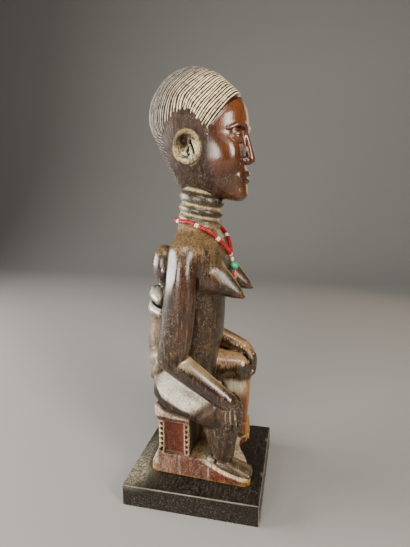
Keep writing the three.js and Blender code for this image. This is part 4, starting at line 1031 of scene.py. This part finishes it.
def paint_base(at, normal):
    """Red and mauve paint on the slab's side, pale ground on its top, painted stool and light stump."""
    f, l, u = at.T
    side, flat = np.abs(l), step_up(normal[:, 2], 0.45, 0.8)
    back, front, low, high = PANEL

    # Places on the slab
    ridge = np.interp(f, *np.array(SLAB_TOP).T)
    under_stool = (side < STOOL_HALF + 0.6) * (f > STOOL_BACK - 0.6) * (f < STOOL_FRONT + 0.6) * (u > 41.2)
    on_slab = (u < ridge + 1.2) * (1.0 - under_stool)
    slab_side = on_slab * (1 - flat)
    margin = np.maximum(slab_side, on_slab * step_up(side, 35, 38) * (f < 14))
    rim = step_up(f, 8, 15) * step_up(u - ridge, -3.8, -2.4) * on_slab

    # Places on the stool
    on_stool = (side > 30) * (1 - on_slab) * (f < 2) * (u > 40.9)
    inset = side < STOOL_HALF - 0.55
    outer = np.maximum(1 - step_up(f, back - 1.4, back - 0.9), step_up(f, front + 0.9, front + 1.4))
    teeth = on_stool * outer * (u < high + 0.6)
    strip = on_stool * (u > SEAT_BOTTOM - 0.8)
    hatching = np.sin((f + 0.6 * (u - SEAT_BOTTOM)) * 2 * math.pi / 2.6)
    seat = SEAT_BOTTOM + np.interp(f, [-37, -30, -14, -2], [4.0, 3.6, 3.4, 3.2])
    inner = (side < 36) * (u > 41.8) * (f > STOOL_FRONT - 1) * (f < 10)
    tone = layered("6d5027", [
        ("6b4338", margin),
        ("8f6c5c", margin * step_down(f, -22, -4) * 0.85),
        ("65301f", slab_side * step_up(f, 14, 20) * 0.9),
        ("8a7046", on_slab * flat * step_down(side, 35, 38) * 0.9),
        ("d3c49d", on_slab * flat * step_up(f, 2, 16) * (side > 14)),
        *(("b39c92", slab_side * stripe(f, crack, 0.9) * (side > 30) * 0.7) for crack in (-12.2, 15.6)),
        ("dcc3a4", rim),
        ("cfc0ab", on_slab * step_down(f, -34.5, -32.5) * step_up(u, 27, 33)),
        ("a37a26", stripe(u, PLINTH_HEIGHT + 0.5, 1.1) * 0.9),
        ("c89a3c", bell(at, (54, -34, 24), (6, 9, 6))),
        ("d0ac4c", bell(at, (-41, -37, 23), (4, 7, 4))),
        ("b79780", on_stool),
        ("93432c", on_stool * inset * (f > back) * (f < front) * (u > low) * (u < high)),
        ("dccdb4", teeth * (1 - inset) * (f < -18)),
        # Painted shade: the front column's teeth a duskier copy of the back column's
        ("8f7465", teeth * (1 - inset) * (f > -18)),
        ("2c1a12", teeth * inset),
        ("602f24", strip),
        ("b4917a", strip * step_up(f, -21, -18) * step_up(hatching, 0.55, 0.95) * 0.8),
        ("cdb49f", (u > seat) * (f < 4) * (u > 70) * 0.95),
        # Painted shade on the stool's front under the seat, with a painted band of light across it
        ("2f1f12", inner),
        ("b08a58", inner * stripe(l, -11, 6) * 0.9),
        ("8a5f34", (l > 20) * (f > 10) * (u > 30) * 0.9),
        ("c08d48", step_up(f, 36.5, 38.5) * (l > 22) * (l < 45) * 0.9),
    ])
    even = np.ones(len(at))
    return {"tone": tone, "dust": 0.8 * even, "veins": 0.5 * even, "gloss": 0.35 * even, "clean": 0,
            "unworn": 0.75 * strip}


# Numbers of a mix node's colour sockets
MIX_COLOURS = (6, 7)
MIX_RESULT = 2


class Shade:
    """Small helper to write a material's nodes."""

    def __init__(self, name):
        self.material = bpy.data.materials.new(name)
        self.material.use_nodes = True
        self.nodes = self.material.node_tree.nodes
        self.shader = self.nodes["Principled BSDF"]
        self.place = self.nodes.new("ShaderNodeTexCoord").outputs["Object"]

    def put(self, socket, value):
        """Links a socket, or sets a number, a vector or a colour, which may be a hexadecimal code."""
        if isinstance(value, str):
            value = linear(value)
        if isinstance(value, bpy.types.NodeSocket):
            self.material.node_tree.links.new(value, socket)
        elif isinstance(value, np.ndarray):
            socket.default_value = (*value, 1)
        else:
            socket.default_value = value

    def fill(self, node, inputs):
        for name, value in inputs.items():
            self.put(node.inputs[name.replace("_", " ")], value)
        return node

    def node(self, kind, **inputs):
        return self.fill(self.nodes.new("ShaderNode" + kind), inputs)

    def attribute(self, name, output="Fac"):
        node = self.node("Attribute")
        node.attribute_name = name
        return node.outputs[output]

    def noise(self, scale, detail=4, roughness=0.55, stretch=(1, 1, 1), offset=(0, 0, 0)):
        mapping = self.node("Mapping", Vector=self.place, Scale=stretch, Location=offset)
        return self.node("TexNoise", Vector=mapping.outputs["Vector"], Scale=scale, Detail=detail,
                         Roughness=roughness).outputs["Fac"]

    def ramp(self, value, low, high, start=0.0, end=1.0):
        node = self.node("MapRange", Value=value, From_Min=low, From_Max=high, To_Min=start, To_Max=end)
        node.interpolation_type = "SMOOTHSTEP"
        return node.outputs["Result"]

    def math(self, way, first, second=0.0):
        node = self.node("Math")
        node.operation = way
        self.put(node.inputs[0], first)
        self.put(node.inputs[1], second)
        return node.outputs[0]

    def times(self, first, second):
        return self.math("MULTIPLY", first, second)

    def mix(self, share, first, second):
        """First colour with the second over it by a share."""
        node = self.node("Mix")
        node.data_type = "RGBA"
        self.put(node.inputs["Factor"], share)
        for number, colour in zip(MIX_COLOURS, (first, second)):
            self.put(node.inputs[number], colour)
        return node.outputs[MIX_RESULT]

    def bump(self, *layers):
        """Normal from layers of height, distance and strength."""
        normal = {}
        for height, distance, strength in layers:
            node = self.node("Bump", Height=height, Distance=distance, Strength=strength, **normal)
            normal = {"Normal": node.outputs["Normal"]}
        return normal["Normal"]

    def set(self, **inputs):
        self.fill(self.shader, inputs)
        return self.material


def wood_material(name, coat):
    """Old oiled wood: kept tones with grain, specks, dust, painted shade and patina in hollows, worn edges.
    """
    s = Shade(name)
    tone = s.attribute("tone", "Color")
    kept = "dust gloss hollow edge hair strand silver veins"
    dust, gloss, hollow, edge, hair, strand, silver, veins = map(s.attribute, kept.split())
    blotch = s.noise(60, 4, 0.62)
    patches = s.noise(170, 4, 0.6, offset=(5, 2, 8))
    grain = s.noise(620, 3, 0.6, (1, 1, 0.1))
    speck = s.noise(1750, 2, 0.6, (1, 1, 0.8), (1, 7, 3))
    pores = s.noise(640, 4, 0.75, offset=(3, 1, 2))
    clusters = s.times(s.ramp(s.noise(240, 3, 0.6, offset=(2, 9, 4)), 0.4, 0.62), dust)
    flecks = s.times(s.ramp(speck, 0.54, 0.68), s.ramp(clusters, 0, 1, 0.05, 0.7))
    cloudy = s.times(s.ramp(blotch, 0.38, 0.62, 0, 0.65), s.ramp(veins, 0, 0.6, 0.25, 1))
    colour = s.mix(cloudy, tone, s.mix(0.75, tone, "080403"))
    colour = s.mix(s.ramp(patches, 0.52, 0.7, 0, 0.3), colour, "4e2410")
    colour = s.mix(s.times(s.ramp(grain, 0.5, 0.62, 0, 0.9), veins), colour, "060302")
    colour = s.mix(s.times(s.ramp(grain, 0.42, 0.28, 0, 0.35), veins), colour, "8f7447")
    colour = s.mix(s.times(s.ramp(pores, 0.48, 0.58, 0, 0.8), dust), colour, "120c07")
    colour = s.mix(flecks, colour, s.mix(0.75, colour, "cdb996"))
    # Painted shade, partly dark patina: hollows darkened nearly to black
    colour = s.mix(s.ramp(hollow, 0.2, 0.75, 0, 0.95), colour, "060302")
    worn = s.times(s.ramp(edge, 0.4, 0.85, 0, 0.75), s.ramp(patches, 0.35, 0.55))
    colour = s.mix(worn, colour, "a5804c")

    # Hair: cream ridges that turn silver to the back, with dark grooves between them
    within = s.math("ABSOLUTE", s.math("SUBTRACT", s.times(s.math("FRACT", strand), 2.0), 1.0))
    cloud = s.noise(240, 4, 0.65)
    hair_colour = s.mix(s.ramp(cloud, 0.4, 0.7, 0.0, 0.5), s.mix(silver, "f2dfb8", "8f897e"), "6f5c42")
    hair_colour = s.mix(s.ramp(dust, 0.15, 1, 0, 0.8), hair_colour, "453d33")
    groove = s.math("ADD", within, s.ramp(cloud, 0.3, 0.7, -0.14, 0.14))
    groove = s.math("ADD", groove, s.ramp(silver, 0, 1, 0, 0.12))
    deep = s.times(s.ramp(groove, 0.3, 0.62), s.ramp(silver, 0, 1, 0.98, 0.95))
    hair_colour = s.mix(deep, hair_colour, s.mix(silver, "0c0805", "2b2621"))
    rough = s.math("ADD", s.ramp(gloss, 0, 1, 0.55, 0.2), s.ramp(patches, 0.35, 0.65, -0.04, 0.06))
    return s.set(
        Base_Color=s.mix(hair, colour, hair_colour), Roughness=s.math("ADD", rough, s.times(flecks, 0.25)),
        Normal=s.bump((blotch, 0.0008, 0.35), (grain, 0.0002, 0.6), (pores, 0.0002, 0.6)),
        Specular_IOR_Level=s.ramp(gloss, 0, 1, 0.1, 0.6), Coat_Weight=s.ramp(gloss, 0.2, 1, 0, coat),
        Coat_Roughness=0.16)


def plinth_material():
    """Black wood with a fine streak, mottled sides, pale corners and a painted reflection at a back corner.
    """
    s = Shade("black_plinth_wood")
    streak = s.noise(700, 4, 0.6, (0.12, 1, 1))
    spots = s.noise(560, 5, 0.75)
    wide = s.noise(34, 4, 0.6)
    colour = s.mix(s.ramp(streak, 0.38, 0.66), "0a0908", "27221c")
    colour = s.mix(s.times(s.ramp(spots, 0.5, 0.66), s.ramp(wide, 0.35, 0.62, 0.25, 0.9)), colour, "554e44")
    # Painted reflection: a pale patch on the top's back corner
    colour = s.mix(s.attribute("corner_reflection"), colour, s.mix(s.ramp(spots, 0.35, 0.6), "a39c84", "4a463c"))
    colour = s.mix(s.times(s.attribute("edge"), s.ramp(wide, 0.3, 0.6, 0.35, 0.9)), colour, "837b6f")
    rough = s.math("ADD", s.ramp(wide, 0.3, 0.7, 0.3, 0.46), s.ramp(spots, 0.4, 0.7, 0, 0.12))
    normal = s.bump((streak, 0.00015, 0.5), (spots, 0.0002, 0.4))
    return s.set(Base_Color=colour, Roughness=rough, Normal=normal, Specular_IOR_Level=0.25)


def bead_material(name, light, dark, roughness, coat=0.3):
    """Smooth bead with a cloudy colour and fine pits."""
    s = Shade(name)
    fine = s.noise(1900, 3, 0.6)
    colour = s.mix(s.ramp(s.noise(420, 3, 0.6), 0.3, 0.7), light, dark)
    colour = s.mix(s.ramp(fine, 0.58, 0.72, 0, 0.5), colour, linear(dark) * 0.5)
    rough = s.ramp(fine, 0.3, 0.7, roughness - 0.06, roughness + 0.12)
    return s.set(Base_Color=colour, Roughness=rough, Normal=s.bump((fine, 0.0001, 0.5)), Coat_Weight=coat,
                 Coat_Roughness=0.2)


def finish_piece(made, node, material):
    """Gives a piece its material, hangs it on the root body and hides the solid that it stands for."""
    made.data.materials.clear()
    made.data.materials.append(material)
    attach(made, "root")
    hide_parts(node)


def plinth():
    """Plinth with softly rounded edges and a barely uneven surface."""
    mesh = bmesh.new()
    bmesh.ops.create_cube(mesh, size=1)
    for v in mesh.verts:
        v.co = Vector((v.co.x * 2 * PLINTH_HALF, v.co.y * 2 * PLINTH_HALF, (v.co.z + 0.5) * PLINTH_HEIGHT))
    bmesh.ops.bevel(mesh, geom=mesh.edges[:], offset=PLINTH_ROUNDING, segments=3, profile=0.5,
                    affect="EDGES")
    wide_faces = [face for face in mesh.faces if face.calc_area() > PLINTH_FACE_LEAST]
    edges = [edge for edge in mesh.edges if any(face in wide_faces for face in edge.link_faces)]
    bmesh.ops.subdivide_edges(mesh, edges=edges, cuts=40, use_grid_fill=True)
    for v in mesh.verts:
        wave = math.sin(0.11 * v.co.x + 0.7) * math.cos(0.09 * v.co.y)
        v.co *= MM * (1 - 0.0004 * (1 + wave))
    data = bpy.data.meshes.new("display_plinth_wood")
    mesh.to_mesh(data)
    mesh.free()
    made = linked("display_plinth_wood", data)
    x, y, z = np.array([v.co for v in data.vertices]).T / MM
    near = np.stack([PLINTH_HALF - np.abs(x), PLINTH_HALF - np.abs(y), PLINTH_HEIGHT - z], 1)
    store(data, "edge", (np.sort(near, 1)[:, 1] < PLINTH_ROUNDING * 1.01).astype(float))
    figure = figure_points(data)
    # Where the painted reflection lies on the top's back corner
    corner_reflection = bell(figure, (-52, -47, 20.5), (12, 18, 4)) + 0.9 * bell(figure, (-56, -20, 20.5), (8, 34, 4))
    store(data, "corner_reflection", np.clip(corner_reflection, 0, 1))
    finish_piece(made, "display_plinth", plinth_material())


def necklace_line(trees):
    """Closed line of the necklace's middle, laid round the figure just clear of it, from the front round."""
    axes, outs, reaches = [], [], []
    for degrees in 360 * np.arange(NECKLACE_SEATS) / NECKLACE_SEATS:
        angle = math.radians(degrees)
        height = np.interp(min(degrees, 360 - degrees), *NECKLACE_HEIGHTS)
        axis = to_row([(NECK_MIDDLE, 0, height)])[0]
        out = to_row([(math.cos(angle), math.sin(angle), 0)])[0] / MM
        reach = 0
        for share in (-1, -0.75, -0.4, 0, 0.4, 0.75, 1):
            start = Vector(axis + RAY_LENGTH * out) + Vector((0, 0, share * BEAD_RADIUS * MM))
            for tree in trees:
                far = tree.ray_cast(start, Vector(-out), RAY_LENGTH)[3]
                if far is not None:
                    round_edge = BEAD_RADIUS * MM * math.sqrt(1 - share * share)
                    reach = max(reach, RAY_LENGTH - far + round_edge)
        axes.append(axis)
        outs.append(out)
        reaches.append(reach + BEAD_CLEARANCE * MM)
    beside = (np.roll(reaches, 1) + np.roll(reaches, -1)) / 2
    seats = np.array(axes) + np.array(outs) * np.maximum(reaches, beside)[:, None]
    return spline(seats, 12, closed=True)


class Line:
    """Closed line that gives the point and the directions at a distance along it."""

    def __init__(self, points):
        self.points = points
        self.along = np.append(0, np.cumsum(np.linalg.norm(np.diff(points, axis=0), axis=1)))
        self.length = self.along[-1]

    def at(self, distance):
        return np.array([np.interp(distance % self.length, self.along, row) for row in self.points.T])

    def frame(self, distance):
        near = 0.4 * MM
        way = unit(self.at(distance + near) - self.at(distance - near))
        side = unit(np.cross(way, (0, 0, 1)))
        return self.at(distance), way, side, np.cross(side, way)


def turned(profile, sides):
    """Points and faces of a turned bead from its profile (along, radius), closed at both ends."""
    angles = 2 * math.pi * np.arange(sides) / sides
    rings = [(along, radius * math.cos(angle), radius * math.sin(angle))
             for along, radius in profile for angle in angles]
    points = [(profile[0][0], 0, 0), *rings, (profile[-1][0], 0, 0)]
    last = len(points) - 1
    faces = []
    for corner in range(sides):
        following = (corner + 1) % sides
        faces += [(0, 1 + following, 1 + corner), (last, last - sides + corner, last - sides + following)]
        for ring in range(1, last - sides, sides):
            faces.append((ring + corner, ring + following, ring + sides + following, ring + sides + corner))
    return np.array(points), faces


def both_ways(half):
    """Whole profile from its half, which runs from the middle to the end."""
    return [(-along, radius) for along, radius in half[::-1] if along > 0] + half


def bead_profile(length, radius, rounding):
    half = []
    for angle in math.pi / 8 * np.arange(4, -1, -1):
        along = length / 2 - rounding + rounding * math.cos(angle)
        half.append((along, radius - rounding + rounding * math.sin(angle)))
    return both_ways(half)


def bead_run(name, node, material, line, places, length, rounding, seed):
    """Beads side by side at places on the line, each a little tilted and of its own size."""
    dice = np.random.default_rng(seed)
    points, faces = [], []
    for place in places:
        size = 1 + dice.uniform(-0.05, 0.01)
        local, local_faces = turned(bead_profile(length, BEAD_RADIUS * size, rounding), 20)
        centre, way, side, over = line.frame(place)
        tilt = dice.uniform(-0.05, 0.05, 2)
        way = unit(way + side * tilt[0] + over * tilt[1])
        side = unit(side - way * (side @ way))
        faces += [[i + len(points) for i in face] for face in local_faces]
        points += list(centre + local * MM @ np.array([way, side, np.cross(way, side)]))
    finish_piece(mesh_object(name, points, faces), node, material)


def necklace(trees):
    """Runs of red discs with pairs of white beads between them, and one white bead in front."""
    line = Line(necklace_line(trees))
    red = bead_material("red_disc_bead", "b00a0e", "6a0508", 0.36, 0.1)
    white = bead_material("white_bead", "e9e2cf", "cfc4a6", 0.35)
    half_pendant, pair, gap = (WHITE_BEAD / 2 + BEAD_GAP) * MM, 2 * WHITE_BEAD * MM, BEAD_GAP * MM
    gaps = (len(RUN_SHARES) - 1) * (pair + 2 * gap)
    mean_run = (line.length - 2 * half_pendant - gaps) / len(RUN_SHARES)
    place = half_pendant
    for run, share in enumerate(RUN_SHARES, 1):
        length = mean_run * share
        discs = round(length / (RED_DISC * MM))
        pitch = length / discs
        places = [place + pitch * (disc + 0.5) for disc in range(discs)]
        bead_run(f"red_discs_{run}", f"red_disc_beads_{run}", red, line, places,
                 pitch / MM * 0.97, 0.5, run)
        place += length + gap
        if run < len(RUN_SHARES):
            places = [place + pair * 0.25, place + pair * 0.75]
            bead_run(f"white_pair_{run}", f"white_bead_pair_{run}", white, line, places,
                     WHITE_BEAD * 0.99, 0.75, 20 + run)
            place += pair + gap
    bead_run("white_front_bead", "white_bead_front", white, line, [0.0], WHITE_BEAD, 0.75, 40)


def pendants():
    """Pale bead, turquoise barrel and coral drop that hang upright below the necklace's front."""
    small = both_ways([(0, 1.6), (1.2, 1.5), (1.9, 1.25), (2.2, 0.9)])
    barrel = both_ways([(0, 3.9), (1.3, 3.7), (2.3, 3.1), (2.9, 2.3), (3.1, 1.4)])
    drop = [(-4.6, 0.5), (-4.4, 1.1), (-3.6, 1.75), (-2.4, 2.1), (-1, 2.05), (1, 1.7), (3, 1.25),
            (4.2, 0.95), (4.6, 0.6)]
    pale = bead_material("pale_bead", "d6d6ae", "a8a878", 0.35)
    green = bead_material("turquoise_bead", "35b88c", "1c8667", 0.38)
    coral = bead_material("coral_drop", "d4633c", "a8401f", 0.4)
    for name, node, slot, material, (forward, up), profile in (
        ("pale_bead_below", "pale_pendant_bead", "pale_bead", pale, (28, 222.2), small),
        ("turquoise_bead_below", "turquoise_pendant_bead", "turquoise_bead", green, (30.2, 216.4), barrel),
        ("coral_drop_below", "coral_pendant_drop", "coral_bead", coral, (30.4, 208.2), drop),
    ):
        points, faces = turned(profile, 28)
        made = mesh_object(name, to_row(points[:, [1, 2, 0]] + (forward, 0, up)), faces)
        finish_piece(made, node, material)


def figure():
    """The carving in three pieces: head, body with the child, and stool with the slab."""
    return [
        carved("carved_head", head_field(), paint_head, wood_material("carved_wood_head", 0.5)),
        carved("carved_body", body_field(), paint_body, wood_material("carved_wood_body", 0.5)),
        carved("stool_and_slab", base_field(), paint_base, wood_material("painted_wood_base", 0.15)),
    ]


# Soft lights: name, place and target in metres, width and height, power and colour
LIGHTS = (
    ("window", (-0.2, 1.05, 0.36), (0, 0, 0.2), (0.9, 0.6), 31, (1, 0.97, 0.93)),
    ("behind", (-1.0, 0.3, 0.34), (0, 0, 0.17), (0.36, 0.5), 9, (1, 0.93, 0.82)),
    ("front", (-0.7, -0.84, 0.6), (0, 0, 0.2), (0.3, 0.8), 17, (1, 0.9, 0.77)),
    ("overhead", (-0.62, -0.1, 1.1), (0, 0, 0.22), (0.4, 0.4), 5.5, (1, 1, 1)),
    ("warm", (0.75, -0.35, 0.45), (0, 0, 0.2), (0.3, 0.5), 0.8, (1, 0.74, 0.46)),
)


def studio():
    """Soft lights over a plain pale floor that bends up into a wall."""
    world = bpy.data.worlds.new("studio")
    bpy.context.scene.world = world
    world.use_nodes = True
    back = world.node_tree.nodes["Background"]
    back.inputs["Color"].default_value = (0.62, 0.62, 0.63, 1)
    back.inputs["Strength"].default_value = 0.1
    for name, place, target, size, power, colour in LIGHTS:
        data = bpy.data.lights.new(name, "AREA")
        data.shape = "RECTANGLE"
        data.size, data.size_y = size
        data.energy = power
        data.color = colour
        aimed(name, data, place, Vector(target) - Vector(place))
    rows = [(-0.75, 0), (1.0, 0)]
    for angle in math.pi / 24 * np.arange(1, 13):
        rows.append((1.0 + 0.9 * math.sin(angle), 0.9 - 0.9 * math.cos(angle)))
    rows.append((1.9, 3.5))
    points = [(x, y, z) for x, z in rows for y in (-3, 3)]
    faces = [(2 * i, 2 * i + 2, 2 * i + 3, 2 * i + 1) for i in range(len(rows) - 1)]
    floor = mesh_object("floor", points, faces)
    paint = Shade("pale_floor").set(Base_Color=np.array((0.3, 0.293, 0.282)), Roughness=0.85)
    floor.data.materials.append(paint)


def place_camera():
    data = bpy.data.cameras.new("camera")
    data.lens = CAMERA_LENS
    data.clip_start = 0.01
    data.clip_end = 50
    bpy.context.scene.camera = aimed("camera", data, CAMERA_AT, CAMERA_FORWARD, CAMERA_ROLL)


place_camera()
pieces = figure()
plinth()
graph = bpy.context.evaluated_depsgraph_get()
necklace([BVHTree.FromObject(made, graph) for made in pieces])
pendants()
studio()
